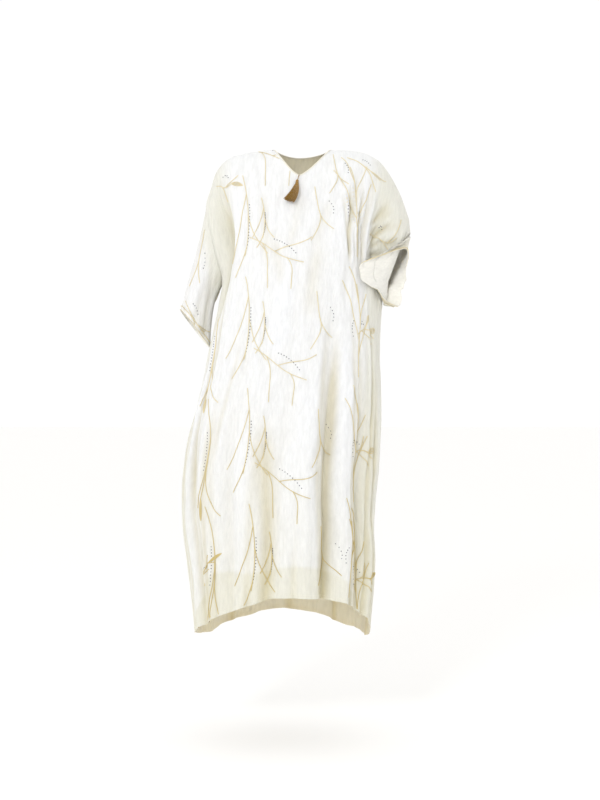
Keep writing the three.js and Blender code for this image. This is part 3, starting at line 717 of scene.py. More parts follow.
def cloth_tones(cloth):
    """The cloth's colour at each point of its outer and its inner face: whiter where the slip
    underneath shows through, down to the slip's hem, with painted shade that is darker and
    warmer in the folds, darker towards the body's hem and warm on the inner faces, and painted
    light and shade on each sleeve towards its cuff."""
    shade = {name: np.array(linear(value)) for name, value in TONES.items()}
    # painted shade: darker and warmer the deeper a fold lies
    deep = np.clip(0.1 - cloth.relief / FULL_FOLD_SHADE, 0, 1.3)[..., None]
    painted_fold_shade = 1 - deep * (1 - shade["fold"])
    if cloth.closed:
        # painted light on the right sleeve and painted shade on the left, growing towards the cuff
        cuff = shade["cuff_right_painted_light" if cloth is sleeves["right"] else "cuff_left_painted_shade"]
        share = ease(*CUFF_LIGHT_AND_SHADE, cloth.flat_b)[..., None]
        outside = shade["single"] + (cuff - shade["single"]) * share
        # the sleeve's inner face gets only its painted shade
        return np.concatenate([outside * painted_fold_shade, shade["sleeve_inside_painted_shade"] + 0 * painted_fold_shade])
    a, b = cloth.flat_a, cloth.flat_b
    left, hem, edge = LINED["half"], LINED["hem"], LINED["edge"]
    right = left + LINED["flare"] * ease(360, 560, b)
    middle = ease(-right, -right + edge, a) * ease(left, left - edge, a)
    share = middle * (0.3 + 0.7 * ease(hem + 5, hem - 5, b + 8 * np.sin(a / 40)))
    # painted shade, darker towards the hem
    low = 1 - ease(*LOW_PAINTED_SHADE, b)[..., None] * (1 - shade["low"])
    outside = shade["single"] + (shade["lined"] - shade["single"]) * share[..., None]
    # the inner face gets the painted shade of the inside as well as that of the folds
    return np.concatenate([outside * painted_fold_shade * low, shade["body_inside_painted_shade"] * painted_fold_shade])


def cloth_mesh(cloth):
    """A thin closed shell, with flat metres as its UV map and a tone at each of its points,
    which carries the painted light and shade.
    """
    outer = pulled_back(cloth)
    turned = np.zeros(outer.shape[:2])
    turned[-TURNED["rows"] :] = TURNED["out"]
    outer = outer + cloth.normals * turned[..., None]
    inner = outer - cloth.normals * (VOILE + TURNED["thicker"] * turned)[..., None]
    count_r, count_c = outer.shape[:2]
    layer = count_r * count_c
    jj = np.arange(count_c if cloth.closed else count_c - 1)
    i, j = np.meshgrid(np.arange(count_r - 1), jj, indexing="ij")
    k = (j + 1) % count_c
    a, b, c, d = (i * count_c + j, i * count_c + k, (i + 1) * count_c + k, (i + 1) * count_c + j)
    faces = [np.stack([a, b, c, d], -1).reshape(-1, 4)]
    faces.append(np.stack([d, c, b, a], -1).reshape(-1, 4) + layer)
    kk = (jj + 1) % count_c
    last = (count_r - 1) * count_c
    faces.append(np.stack([layer + jj, layer + kk, kk, jj], -1))
    faces.append(np.stack([last + jj, last + kk, layer + last + kk, layer + last + jj], -1))
    if not cloth.closed:
        ii = np.arange(count_r - 1) * count_c
        end = ii + count_c - 1
        faces.append(np.stack([ii, ii + count_c, layer + ii + count_c, layer + ii], -1))
        faces.append(np.stack([layer + end, layer + end + count_c, end + count_c, end], -1))
    faces = np.concatenate(faces)
    if cloth.outward < 0:
        faces = faces[:, ::-1]
    vertices = np.concatenate([outer.reshape(-1, 3), inner.reshape(-1, 3)]) * METRE
    mesh = bpy.data.meshes.new(cloth.name + "_voile")
    mesh.from_pydata(vertices.tolist(), [], faces.tolist())
    flat = np.stack([cloth.flat_a, cloth.flat_b], -1).reshape(-1, 2) * METRE
    flat = np.concatenate([flat, flat])
    corner = faces.reshape(-1)
    uv = mesh.uv_layers.new(name="flat_cloth")
    uv.data.foreach_set("uv", flat[corner].reshape(-1))
    # the tone attribute holds the slip's whiteness with the painted shade and painted light
    tone = mesh.attributes.new("tone", "FLOAT_COLOR", "POINT")
    tone.data.foreach_set("color", cloth_tones(cloth).reshape(-1))
    mesh.validate()
    return mesh


# ------------------------------------------------------------------ nodes
def add(tree, kind, links=None, **settings):
    """Adds one node. links gives each input a value or the socket that feeds it."""
    made = tree.nodes.new(kind)
    for name, value in settings.items():
        setattr(made, name, value)
    for name, value in (links or {}).items():
        if isinstance(value, bpy.types.NodeSocket):
            tree.links.new(value, made.inputs[name])
        else:
            made.inputs[name].default_value = value
    return made


def remapped(tree, value, low, high, to_low=0.0, to_high=1.0):
    spans = {"From Min": low, "From Max": high, "To Min": to_low, "To Max": to_high}
    return add(tree, "ShaderNodeMapRange", {"Value": value, **spans}).outputs["Result"]


def mixed(tree, share, one, two, **settings):
    """One colour mixed with another, by a share from 0 to 1."""
    links = {"Factor": share, 6: one, 7: two}
    return add(tree, "ShaderNodeMix", links, data_type="RGBA", **settings).outputs[2]


def bumped(tree, height, strength, distance, over=None):
    """A normal for small relief, over the relief of another bump if one is given."""
    links = {"Height": height, "Strength": strength, "Distance": distance}
    if over is not None:
        links["Normal"] = over
    return add(tree, "ShaderNodeBump", links).outputs["Normal"]


def stretched_noise(tree, uv, along, scale, detail, roughness):
    """Noise over the flat cloth, drawn out down its length."""
    long = add(tree, "ShaderNodeMapping", {"Vector": uv, "Scale": (1.0, along, 1.0)})
    links = {"Vector": long.outputs["Vector"], "Scale": scale}
    links.update({"Detail": detail, "Roughness": roughness})
    return add(tree, "ShaderNodeTexNoise", links).outputs["Fac"]


def yarns(tree, uv, direction):
    links = {"Vector": uv, "Scale": 105.0, "Distortion": 1.0, "Detail": 1.0}
    return add(tree, "ShaderNodeTexWave", links, bands_direction=direction).outputs["Fac"]


def linear(hex_colour):
    """A hex sRGB colour as the linear colour that a socket takes."""
    channels = [int(hex_colour[n : n + 2], 16) / 255 for n in (1, 3, 5)]
    return [c / 12.92 if c <= 0.04045 else ((c + 0.055) / 1.055) ** 2.4 for c in channels] + [1.0]


def new_material(name):
    material = bpy.data.materials.new(name)
    material.use_nodes = True
    tree = material.node_tree
    tree.nodes.clear()
    shader = tree.nodes.new("ShaderNodeBsdfPrincipled")
    output = tree.nodes.new("ShaderNodeOutputMaterial")
    tree.links.new(shader.outputs["BSDF"], output.inputs["Surface"])
    return material, tree, shader


def cotton_voile():
    """Cotton voile, plain-woven from fine twisted yarn and crinkled in the wash: matt, a little
    fuzzy at grazing angles, with thick and thin yarns, painted shade in the hollows of its
    crinkles, and the painted light and shade that its tone attribute carries, warmest in the folds."""
    material, tree, shader = new_material("cream_crinkled_cotton_voile")
    uv = add(tree, "ShaderNodeUVMap", uv_map="flat_cloth").outputs["UV"]
    # slub: thick and thin warp yarns, a few millimetres wide and centimetres long
    slub = stretched_noise(tree, uv, 0.06, 420.0, 3.0, 0.6)
    crinkles = stretched_noise(tree, uv, 0.22, 135.0, 5.0, 0.62)
    # the weave itself is under half a millimetre, so it is drawn at 1.5 mm to show at all
    both_ways = {0: yarns(tree, uv, "X"), 1: yarns(tree, uv, "Y")}
    weave = add(tree, "ShaderNodeMath", both_ways, operation="MAXIMUM").outputs[0]
    # the tone attribute: the slip's whiteness, with painted shade and painted light
    tone = add(tree, "ShaderNodeAttribute", attribute_name="tone").outputs["Color"]
    yarn = remapped(tree, slub, 0.35, 0.7, 0.97, 1.0)
    # painted shade: the crinkles' hollows are darkened in the colour as well as bumped
    crinkle_shade = remapped(tree, crinkles, 0.36, 0.62, 0.925, 1.0)
    slub_and_crinkle_shade = add(tree, "ShaderNodeMath", {0: yarn, 1: crinkle_shade}, operation="MULTIPLY").outputs[0]
    shaded = mixed(tree, 1.0, tone, slub_and_crinkle_shade, blend_type="MULTIPLY")
    tree.links.new(shaded, shader.inputs["Base Color"])
    small = bumped(tree, weave, 0.18, 0.0003)
    slubby = bumped(tree, slub, 0.3, 0.0012, small)
    tree.links.new(bumped(tree, crinkles, 0.7, 0.004, slubby), shader.inputs["Normal"])
    shader.inputs["Roughness"].default_value = 0.86
    shader.inputs["Sheen Weight"].default_value = 0.18
    shader.inputs["Sheen Roughness"].default_value = 0.5
    shader.inputs["Specular IOR Level"].default_value = 0.25
    shader.inputs["Subsurface Weight"].default_value = 0.4  # sheer enough for light to come through
    shader.inputs["Subsurface Radius"].default_value = (1.0, 0.98, 0.9)
    shader.inputs["Subsurface Scale"].default_value = 0.003
    return material


PAINTED_SHADE_BETWEEN = (-0.55, -1.0)  # heights between which a thread's painted shade towards the hem comes in


def thread_material(name, light, dark, scale, roughness, metallic, sheen, low=None):
    """Twisted thread: a lighter and a darker tone along it, a soft shine, and a painted shade
    `low` that darkens it towards the hem, if it has one."""
    material, tree, shader = new_material(name)
    place = add(tree, "ShaderNodeTexCoord").outputs["Object"]
    mottle = add(tree, "ShaderNodeTexNoise", {"Vector": place, "Scale": scale, "Detail": 2.0})
    tone = mixed(tree, mottle.outputs["Fac"], linear(dark), linear(light))
    if low:
        # painted shade: darker below the knee, towards the hem
        height = add(tree, "ShaderNodeSeparateXYZ", {"Vector": place}).outputs["Z"]
        tone = mixed(tree, remapped(tree, height, *PAINTED_SHADE_BETWEEN), tone, linear(low))
    tree.links.new(tone, shader.inputs["Base Color"])
    links = {"Vector": place, "Scale": 600.0, "Distortion": 2.0}
    twist = add(tree, "ShaderNodeTexWave", links, bands_direction="DIAGONAL").outputs["Fac"]
    tree.links.new(bumped(tree, twist, 0.4, 0.0004), shader.inputs["Normal"])
    shader.inputs["Roughness"].default_value = roughness
    shader.inputs["Metallic"].default_value = metallic
    shader.inputs["Sheen Weight"].default_value = sheen
    return material


def hematite_glass():
    """Faceted glass stones with a dark silver coat: smooth and mirror-like."""
    material, tree, shader = new_material("silvered_grey_glass")
    place = add(tree, "ShaderNodeTexCoord").outputs["Object"]
    facets = add(tree, "ShaderNodeTexVoronoi", {"Vector": place, "Scale": 130.0})
    each = facets.outputs["Distance"]
    tone = mixed(tree, each, linear("#5E6068"), linear("#A4A5AA"))
    tree.links.new(tone, shader.inputs["Base Color"])
    rough = remapped(tree, each, 0.0, 1.0, 0.12, 0.3)
    tree.links.new(rough, shader.inputs["Roughness"])
    shader.inputs["Metallic"].default_value = 0.75
    return material


voile = cotton_voile()
# each thread: its light and dark tone, then scale, roughness, metallic, sheen and low tone, a
# painted shade towards the hem
gold_cord = thread_material(
    "pale_gold_couched_cord", "#EBE1C2", "#D0C094", 900.0, 0.45, 0.12, 0.1, "#CCB97E"
)
tassel_silk = thread_material(
    "gold_brown_rayon_thread", "#B98A16", "#6E4A05", 500.0, 0.42, 0.1, 0.35
)
sewing_cotton = thread_material(
    "cream_sewing_cotton", "#F6F3EA", "#DDD6C2", 700.0, 0.7, 0.0, 0.2
)
stone_glass = hematite_glass()

pieces = {}
for cloth in (front, back, sleeves["right"], sleeves["left"]):
    shell = cloth_mesh(cloth)
    pieces[cloth.name] = new_piece(shell.name, shell, voile, (cloth.name,))


# ------------------------------------------------------------------ node trees for sewn work
def new_tree(name, **sizes):
    """A node tree and its inputs: the geometry, and each size with what it is by default."""
    tree = bpy.data.node_groups.new(name, "GeometryNodeTree")
    tree.interface.new_socket("Geometry", in_out="INPUT", socket_type="NodeSocketGeometry")
    for name, value in sizes.items():
        kind = "Material" if value is None else "Int" if isinstance(value, int) else "Float"
        socket = tree.interface.new_socket(name, in_out="INPUT", socket_type="NodeSocket" + kind)
        if value is not None:
            socket.default_value = value
    tree.interface.new_socket("Geometry", in_out="OUTPUT", socket_type="NodeSocketGeometry")
    return tree, tree.nodes.new("NodeGroupInput").outputs


def finish_tree(tree, geometry, material):
    real = add(tree, "GeometryNodeRealizeInstances", {"Geometry": geometry}).outputs["Geometry"]
    coloured = add(tree, "GeometryNodeSetMaterial", {"Geometry": real, "Material": material})
    out = tree.nodes.new("NodeGroupOutput")
    tree.links.new(coloured.outputs["Geometry"], out.inputs["Geometry"])


def set_out(tree, points, one):
    """One copy of a thing at each point, its own Z along the point's `facing`."""
    facing = add(
        tree, "GeometryNodeInputNamedAttribute", {"Name": "facing"}, data_type="FLOAT_VECTOR"
    )
    ahead = {"Vector": facing.outputs["Attribute"]}
    turn = add(tree, "FunctionNodeAlignRotationToVector", ahead, axis="Z").outputs["Rotation"]
    links = {"Points": points, "Instance": one, "Rotation": turn}
    return add(tree, "GeometryNodeInstanceOnPoints", links).outputs["Instances"]


def laid_cord_tree():
    """Cord laid along the mesh's edges."""
    tree, given = new_tree("laid_cord", Radius=CORD * METRE, Sides=5, Material=None)
    path = add(tree, "GeometryNodeMeshToCurve", {"Mesh": given["Geometry"]}).outputs["Curve"]
    circle = {"Resolution": given["Sides"], "Radius": given["Radius"]}
    section = add(tree, "GeometryNodeCurvePrimitiveCircle", circle).outputs["Curve"]
    links = {"Curve": path, "Profile Curve": section, "Fill Caps": True}
    round_cord = add(tree, "GeometryNodeCurveToMesh", links).outputs["Mesh"]
    finish_tree(tree, round_cord, given["Material"])
    return tree


def sewn_stone_tree():
    """A flat-backed stone at each point, facing away from the cloth."""
    tree, given = new_tree("sewn_stones", Radius=STONE * METRE, Height=0.55, Material=None)
    ball = {"Radius": given["Radius"], "Segments": 8, "Rings": 4}
    stone = add(tree, "GeometryNodeMeshUVSphere", ball).outputs["Mesh"]
    size = add(tree, "ShaderNodeCombineXYZ", {"X": 1.0, "Y": 1.0, "Z": given["Height"]})
    links = {"Geometry": stone, "Scale": size.outputs["Vector"]}
    low = add(tree, "GeometryNodeTransform", links).outputs["Geometry"]
    placed = set_out(tree, given["Geometry"], low)
    finish_tree(tree, placed, given["Material"])
    return tree


def stitch_tree():
    """A short stitch at each point, lying along the seam."""
    tree, given = new_tree("running_stitches", Length=0.0026, Thickness=0.00032, Material=None)
    ball = {"Radius": 1.0, "Subdivisions": 1}
    core = add(tree, "GeometryNodeMeshIcoSphere", ball).outputs["Mesh"]
    half = add(tree, "ShaderNodeMath", {0: given["Length"], 1: 0.5}, operation="MULTIPLY")
    thick = given["Thickness"]
    links = {"X": thick, "Y": thick, "Z": half.outputs[0]}
    size = add(tree, "ShaderNodeCombineXYZ", links).outputs["Vector"]
    links = {"Geometry": core, "Scale": size}
    one = add(tree, "GeometryNodeTransform", links).outputs["Geometry"]
    placed = set_out(tree, given["Geometry"], one)
    finish_tree(tree, placed, given["Material"])
    return tree


def grown(name, points, edges, tree, material, facing=None, **sizes):
    """Runs a node tree on points and edges and returns the plain mesh."""
    mesh = bpy.data.meshes.new(name + "_path")
    mesh.from_pydata((np.asarray(points) * METRE).tolist(), list(edges), [])
    if facing is not None:
        attribute = mesh.attributes.new("facing", "FLOAT_VECTOR", "POINT")
        attribute.data.foreach_set("vector", np.asarray(facing, float).reshape(-1))
    holder = bpy.data.objects.new(name + "_path", mesh)
    bpy.context.scene.collection.objects.link(holder)
    modifier = holder.modifiers.new(name, "NODES")
    modifier.node_group = tree
    values = dict(sizes, Material=material)
    for item in tree.interface.items_tree:
        if item.in_out == "INPUT" and item.name in values:
            modifier[item.identifier] = values[item.name]
    depsgraph = bpy.context.evaluated_depsgraph_get()
    plain = bpy.data.meshes.new_from_object(holder.evaluated_get(depsgraph))
    holder.modifiers.remove(modifier)
    bpy.data.objects.remove(holder)
    bpy.data.meshes.remove(mesh)
    plain.name = name
    return plain


cord_tree, stone_tree, stitches = laid_cord_tree(), sewn_stone_tree(), stitch_tree()

# ------------------------------------------------------------------ the couched branches
# A motif is one stem with shoots that leave it by turns to either side, all made by one rule, on
# the flat cloth with x to the wearer's left and y down. In a table of lines, bow is how far a
# line's middle swings left, sway how far it weaves, and rows above 1 fill a leaf of that half
# width with so many rows of cord.
STEM = "x0 y0 x1 y1 bow sway rows"
STONE_LINE = "x0 y0 x1 y1 bow"


def ahead_of(x, y, far, heading):
    """The point so far from (x, y), at a heading in degrees from straight down."""
    return x + far * math.sin(math.radians(heading)), y + far * math.cos(math.radians(heading))


def sprig(length, heading, shoots, spread, bow, sway, leaf):
    """A stem's lines: itself, its shoots, each shorter than the last, and a leaf at its tip."""
    tip = ahead_of(0, 0, length, heading)
    lines = [(0, 0, *tip, bow, sway, 1)]
    for n in range(shoots):
        share = (n + 1) / (shoots + 1)
        side = 1 if n % 2 else -1
        aside = bow * 4 * share * (1 - share) + sway * math.sin(2 * math.pi * share)
        root = ahead_of(*ahead_of(0, 0, length * share, heading), aside, heading + 90)
        end = ahead_of(*root, length * (0.72 - 0.12 * n), heading + side * spread)
        lines.append((*root, *end, -side * abs(bow) * 0.7, 0.5 * sway, 1))
    if leaf:
        lines.append((*tip, *ahead_of(*tip, leaf, heading), 4.6, 0, 4))
    return table(STEM, *lines)


def stone_chain(length, heading, far):
    """A chain of stones beside the lower half of a stem."""
    start = ahead_of(*ahead_of(0, 0, length * 0.4, heading), 16, heading + 90)
    return table(STONE_LINE, (*start, *ahead_of(*start, far, heading - 6), 4))


# length, heading, shoots, their spread, bow, sway, length of the leaf, and of the chain of stones
SPRIGS = {
    "bough": (165, 58, 3, 50, -10, 4, 0, 70),
    "fall": (215, 2, 3, 22, 12, 0, 0, 110),
    "long_leaf": (260, 4, 2, 14, 26, 0, 54, 90),
    "reeds": (225, 180, 4, 20, -6, 4, 0, 40),
    "feathers": (85, 140, 3, 26, 5, 0, 50, 14),
    "veins": (150, 126, 2, 28, -7, 4, 0, 20),
    "arcs": (140, 88, 2, 30, -10, 3, 0, 30),
    "tendril": (100, 24, 1, 36, -13, 3, 0, 28),
    "stems": (190, 182, 2, 16, -6, 4, 0, 40),
    "twig": (80, 66, 2, 38, -6, 3, 44, 24),
}
MOTIFS = {name: sprig(*size[:-1]) for name, size in SPRIGS.items()}
STONES = {name: stone_chain(size[0], size[1], size[-1]) for name, size in SPRIGS.items()}
# Where motifs are sewn: a and b in flat mm, size, turn in degrees, and 1 or -1 to face over.
REPEAT = 289.0  # the motifs come again every so far down the cloth


def boughs(*places):
    """A bough with what hangs about it, at each place."""
    about = (
        ("bough", 0, 0, 1.0),
        ("fall", -10, 100, 1.0),
        ("fall", 40, 175, 0.5),
        ("tendril", 175, 155, 1.2),
    )
    return [(name, a + x, b + y, size, 0, 1) for a, b in places for name, x, y, size in about]


def again(name, a, b, step, count, size, turn, face):
    """The same motif at each repeat down the cloth, moved across by step each time."""
    return [(name, a + step * n, b + REPEAT * n, size, turn, face) for n in range(count)]


SPRAYS = {
    "front": boughs((-135, 5), (-125, 275), (-100, 565), (-75, 855))
    + again("long_leaf", -254, 363, 24, 3, 1.0, 3, 1)
    + again("reeds", 152, 316, 26, 4, 1.0, -6, 1)
    + again("feathers", 168, 500, 24, 3, 1.0, 0, 1)
    + [("stems", 170, 1160, 1.0, 4, 1), ("feathers", -250, 1100, 0.7, 30, 1)]
    + [("twig", -236, 70, 0.9, 10, 1), ("tendril", 84, 52, 1.0, 0, 1)]
    + [("veins", 208, 212, 1.0, 0, 1), ("arcs", 120, 62, 0.7, 10, 1)],
    "back": boughs(*((-118 + 10 * n, 60 + REPEAT * n) for n in range(4)))
    + again("long_leaf", -270, 300, 0, 4, 1.0, 2, 1)
    + again("reeds", 150, 300, 12, 4, 1.0, -2, 1)
    + again("long_leaf", 286, 380, 0, 3, 0.95, 4, -1)
    + [("twig", -240, 110, 1.0, 10, 1), ("twig", 230, 90, 0.9, 20, -1)],
}
SLEEVE_SPRAYS = {
    "right": [
        ("arcs", 56, 234, 1.0, 0, 1),
        ("tendril", 60, 40, 1.3, 0, 1),
        ("stems", 300, 232, 1.0, 0, -1),
        ("bough", 380, 10, 0.75, 0, 1),
    ],
    "left": [
        ("stems", 330, 225, 0.9, -4, -1),
        ("stems", 450, 225, 0.9, 2, 1),
    ],
}


def stem(rows, n, step, share=1.0):
    """Points along stem n of a motif."""
    start, end = np.array([rows["x0"][n], rows["y0"][n]]), np.array([rows["x1"][n], rows["y1"][n]])
    length = np.hypot(*(end - start))
    u = np.linspace(0, 1, max(int(round(length / step)), 1) + 1)
    aside = rows["bow"][n] * share * 4 * u * (1 - u)
    if "sway" in rows:
        aside = aside + rows["sway"][n] * np.sin(2 * math.pi * u)
    way = (end - start) / length
    return start + np.outer(u, end - start) + np.outer(aside, [way[1], -way[0]])


def sewn_at(line, a, b, size, turn, face):
    """A motif's line, moved to where it is sewn."""
    turn = math.radians(turn)
    x, y = line[:, 0] * face * size, line[:, 1] * size
    return a + x * math.cos(turn) - y * math.sin(turn), b + x * math.sin(turn) + y * math.cos(turn)


def couched(spray, place):
    """The cord's points and edges, and the stones' points and directions, of all the sprays."""
    points, edges, stones, facing = [], [], [], []
    total = 0

    def lay(a, b):
        nonlocal total
        point, _, inside = place(a, b, CORD * CORD_LIFT)
        run = inside[:-1] & inside[1:]
        points.append(point)
        edges.extend((total + int(k), total + int(k) + 1) for k in np.flatnonzero(run))
        total += len(point)

    for name, *spot in spray:
        rows = MOTIFS[name]
        for n in range(len(rows["x0"])):
            for share in np.linspace(-1, 1, int(rows["rows"][n])) if rows["rows"][n] > 1 else [1.0]:
                lay(*sewn_at(stem(rows, n, CORD_STEP, share), *spot))
        rows = STONES[name]
        for n in range(len(rows["x0"])):
            line = sewn_at(stem(rows, n, STONE_STEP), *spot)
            point, normal, inside = place(*line, STONE * STONE_LIFT)
            stones.append(point[inside])
            facing.append(normal[inside])
    keep = sorted({k for edge in edges for k in edge})
    renumber = {old: new for new, old in enumerate(keep)}
    points = np.vstack(points)[keep]
    edges = [(renumber[a], renumber[b]) for a, b in edges]
    return points, edges, np.vstack(stones), np.vstack(facing)


sewn_pieces = {node: [] for node in pieces}


def sew_on(node, spray, place):
    points, edges, stones, facing = couched(spray, place)
    cords = grown(node + "_couched_cord", points, edges, cord_tree, gold_cord)
    sewn_pieces[node].append(new_piece(node + "_couched_cord", cords, gold_cord))
    gems = grown(node + "_stones", stones, [], stone_tree, stone_glass, facing)
    sewn_pieces[node].append(new_piece(node + "_stones", gems, stone_glass))


sew_on("front_panel", SPRAYS["front"], partial(on_body, front))
sew_on("back_panel", SPRAYS["back"], partial(on_body, back))
for side, sleeve in sleeves.items():
    sew_on(sleeve.name, SLEEVE_SPRAYS[side], partial(on_sleeve, sleeve))


# ------------------------------------------------------------------ hems, cuffs and seams
def level_line(cloth, from_edge, lift):
    """A line round a cloth's lower edge, from_edge millimetres above it."""
    length = np.linalg.norm(np.diff(cloth.points, axis=0), axis=-1)[::-1].cumsum(axis=0)[::-1]
    length = np.vstack([length, np.zeros((1, length.shape[1]))])
    row = [np.interp(-from_edge, -far, np.arange(len(far))) for far in length.T]
    return cloth.at(np.array(row), np.arange(0, cloth.points.shape[1], dtype=float), lift)[0]


def round_edges(count):
    return [(n, (n + 1) % count) for n in range(count)]


def stitched(name, node, line, closed, pitch=4.2):
    """Running stitches along a line."""
    line = np.vstack([line, line[:1]]) if closed else line
    steps = np.linalg.norm(np.diff(line, axis=0), axis=1)
    far = np.concatenate([[0], steps.cumsum()])
    at = np.arange(pitch / 2, far[-1], pitch)
    spots = np.stack([np.interp(at, far, line[:, n]) for n in range(3)], -1)
    ahead = np.stack([np.interp(at + 0.5, far, line[:, n]) for n in range(3)], -1)
    behind = np.stack([np.interp(at - 0.5, far, line[:, n]) for n in range(3)], -1)
    mesh = grown(name, spots, [], stitches, sewing_cotton, ahead - behind)
    sewn_pieces[node].append(new_piece(name, mesh, sewing_cotton))


HEM_STITCH_LIFT, CUFF_LIFT = 0.75, 0.5  # off the cloth's own face
CUFF_CORDS = (("cuff_cord", 12.0, CORD), ("cuff_edge_cord", 1.6, 0.8))  # height and radius
for cloth in (front, back):
    line = level_line(cloth, HEM, HEM_STITCH_LIFT)
    stitched(cloth.name + "_hem_stitches", cloth.name, line[1:-1], False)
for cloth in sleeves.values():
    node = cloth.name
    for name, height, radius in CUFF_CORDS:
        line = level_line(cloth, height, radius * CORD_LIFT + CUFF_LIFT)
        edges = round_edges(len(line))
        mesh = grown(f"{node}_{name}", line, edges, cord_tree, gold_cord, Radius=radius * METRE)
        sewn_pieces[node].append(new_piece(mesh.name, mesh, gold_cord))
    line = level_line(cloth, HEM, HEM_STITCH_LIFT)
    stitched(node + "_cuff_stitches", node, line, True)


# ------------------------------------------------------------------ the rolled neck edge
EDGE_RADIUS = 1.4
EDGE_GAP = 0.3
SHARPEST_MITRE = 0.6


def neck_path():
    """The middle of the rolled edge, which lies against the neckline all round."""
    first, last = GRID["shoulder"], GRID["shoulder"] + GRID["neck"]
    rim = np.vstack([front.points[0, first : last + 1], back.points[0, first + 1 : last][::-1]])
    faces = np.vstack([front.normals[0, first : last + 1], back.normals[0, first + 1 : last][::-1]])
    for n in (0, last - first):
        faces[n] = (0, 0, 1)
    before = rim - np.roll(rim, 1, axis=0)
    after = np.roll(rim, -1, axis=0) - rim
    before /= np.linalg.norm(before, axis=1, keepdims=True)
    after /= np.linalg.norm(after, axis=1, keepdims=True)
    along = before + after
    along /= np.linalg.norm(along, axis=1, keepdims=True)
    away = np.cross(faces, along)
    away /= np.linalg.norm(away, axis=1, keepdims=True)
    mitre = np.maximum(np.sum(before * along, axis=1, keepdims=True), SHARPEST_MITRE)
    return rim + away * (EDGE_RADIUS + EDGE_GAP) / mitre - faces * VOILE / 2


neck_line = neck_path()
neck_edge = grown(
    "rolled_neck_edge",
    neck_line,
    round_edges(len(neck_line)),
    cord_tree,
    voile,
    Radius=EDGE_RADIUS * METRE,
    Sides=10,
)
new_piece("rolled_neck_edge", neck_edge, sewing_cotton, ("neck_binding",))

# ------------------------------------------------------------------ the tassel
TASSEL_ROOT = np.array([-12.0, -103.0, -94.0])
TASSEL_TIP = np.array([-33.0, -136.0, -147.0])
TASSEL_BOW = np.array([5.0, -3.0, 0.0])
TASSEL = {"head": 4.4, "root_share": 0.12, "threads": 230, "thread": 0.42, "thread_points": 12}
ROOT_HALF = {"width": 2.4, "depth": 2.2}  # of the tassel's skirt, at its root
SKIRT_HALF = {"width": 14.5, "depth": 6.3}  # and at its tip
NECK_WINDING = {"points": 260, "turns": 9}
HEAD_WINDING = {"points": 220, "turns": 8}
tassel_along = (TASSEL_TIP - TASSEL_ROOT) / np.linalg.norm(TASSEL_TIP - TASSEL_ROOT)
tassel_across = np.array([1.0, 0, 0]) - tassel_along * tassel_along[0]
tassel_across /= np.linalg.norm(tassel_across)
tassel_deep = np.cross(tassel_along, tassel_across)


def skirt_point(side, deep, along):
    """A point of the tassel's skirt: side and deep are shares of its half width and depth."""
    along = np.asarray(along, float)[:, None]
    spread = (np.maximum(along - TASSEL["root_share"], 0) / (1 - TASSEL["root_share"])) ** 0.6
    width, depth = ROOT_HALF["width"], ROOT_HALF["depth"]
    return (
        TASSEL_ROOT
        + (TASSEL_TIP - TASSEL_ROOT) * along
        + TASSEL_BOW * 4 * along * (1 - along)
        + tassel_across * side * (width + (SKIRT_HALF["width"] - width) * spread)
        + tassel_deep * deep * (depth + (SKIRT_HALF["depth"] - depth) * spread)
    )


def middle_line(along):
    """Points along the middle of the tassel."""
    none = np.zeros((len(along), 1))
    return skirt_point(none, none, along)


def tassel_lines():
    """The tassel's threads and its windings, as points and edges."""
    random = np.random.default_rng(11)
    lines = []
    golden = math.pi * (3 - math.sqrt(5))
    for n in range(TASSEL["threads"]):
        radius = math.sqrt((n + 0.5) / TASSEL["threads"])
        along = np.linspace(0.1, 1 - random.uniform(0, 0.06), TASSEL["thread_points"])
        wave = np.sin(along * random.uniform(4, 9) + random.uniform(0, 6)) * 0.05 * along
        side, deep = radius * math.cos(n * golden) + wave, radius * math.sin(n * golden) - wave
        lines.append(skirt_point(side[:, None], deep[:, None], along))
    # thread wound round the neck of the tassel
    turns = np.linspace(0, 1, NECK_WINDING["points"])
    spin = turns[:, None] * 2 * math.pi * NECK_WINDING["turns"]
    round_neck = tassel_across * np.cos(spin) + tassel_deep * np.sin(spin)
    lines.append(middle_line(0.04 + 0.1 * turns) + round_neck * (3.6 + 1.2 * turns[:, None]))
    # and over its head
    turns = np.linspace(0, 1, HEAD_WINDING["points"])
    lean = (np.pi * turns)[:, None]
    spin = (turns * 2 * math.pi * HEAD_WINDING["turns"])[:, None]
    round_head = tassel_across * np.cos(spin) + tassel_deep * np.sin(spin)
    over_head = np.sin(lean) * round_head - tassel_along * np.cos(lean)
    lines.append(TASSEL_ROOT + TASSEL["head"] * 0.86 * over_head)
    edges, total = [], 0
    for line in lines:
        edges += [(total + k, total + k + 1) for k in range(len(line) - 1)]
        total += len(line)
    return np.vstack(lines), edges


tassel_threads = grown(
    "tassel_threads",
    *tassel_lines(),
    cord_tree,
    tassel_silk,
    Radius=TASSEL["thread"] * METRE,
    Sides=4,
)
new_piece("tassel_threads", tassel_threads, tassel_silk, ("tassel",))
CORE_SIDES = 24
CORE = ((0.02, 2.6), (0.06, 3.3), (0.12, 4.0), (0.2, 4.4), (0.26, 3.0))  # share along, radius


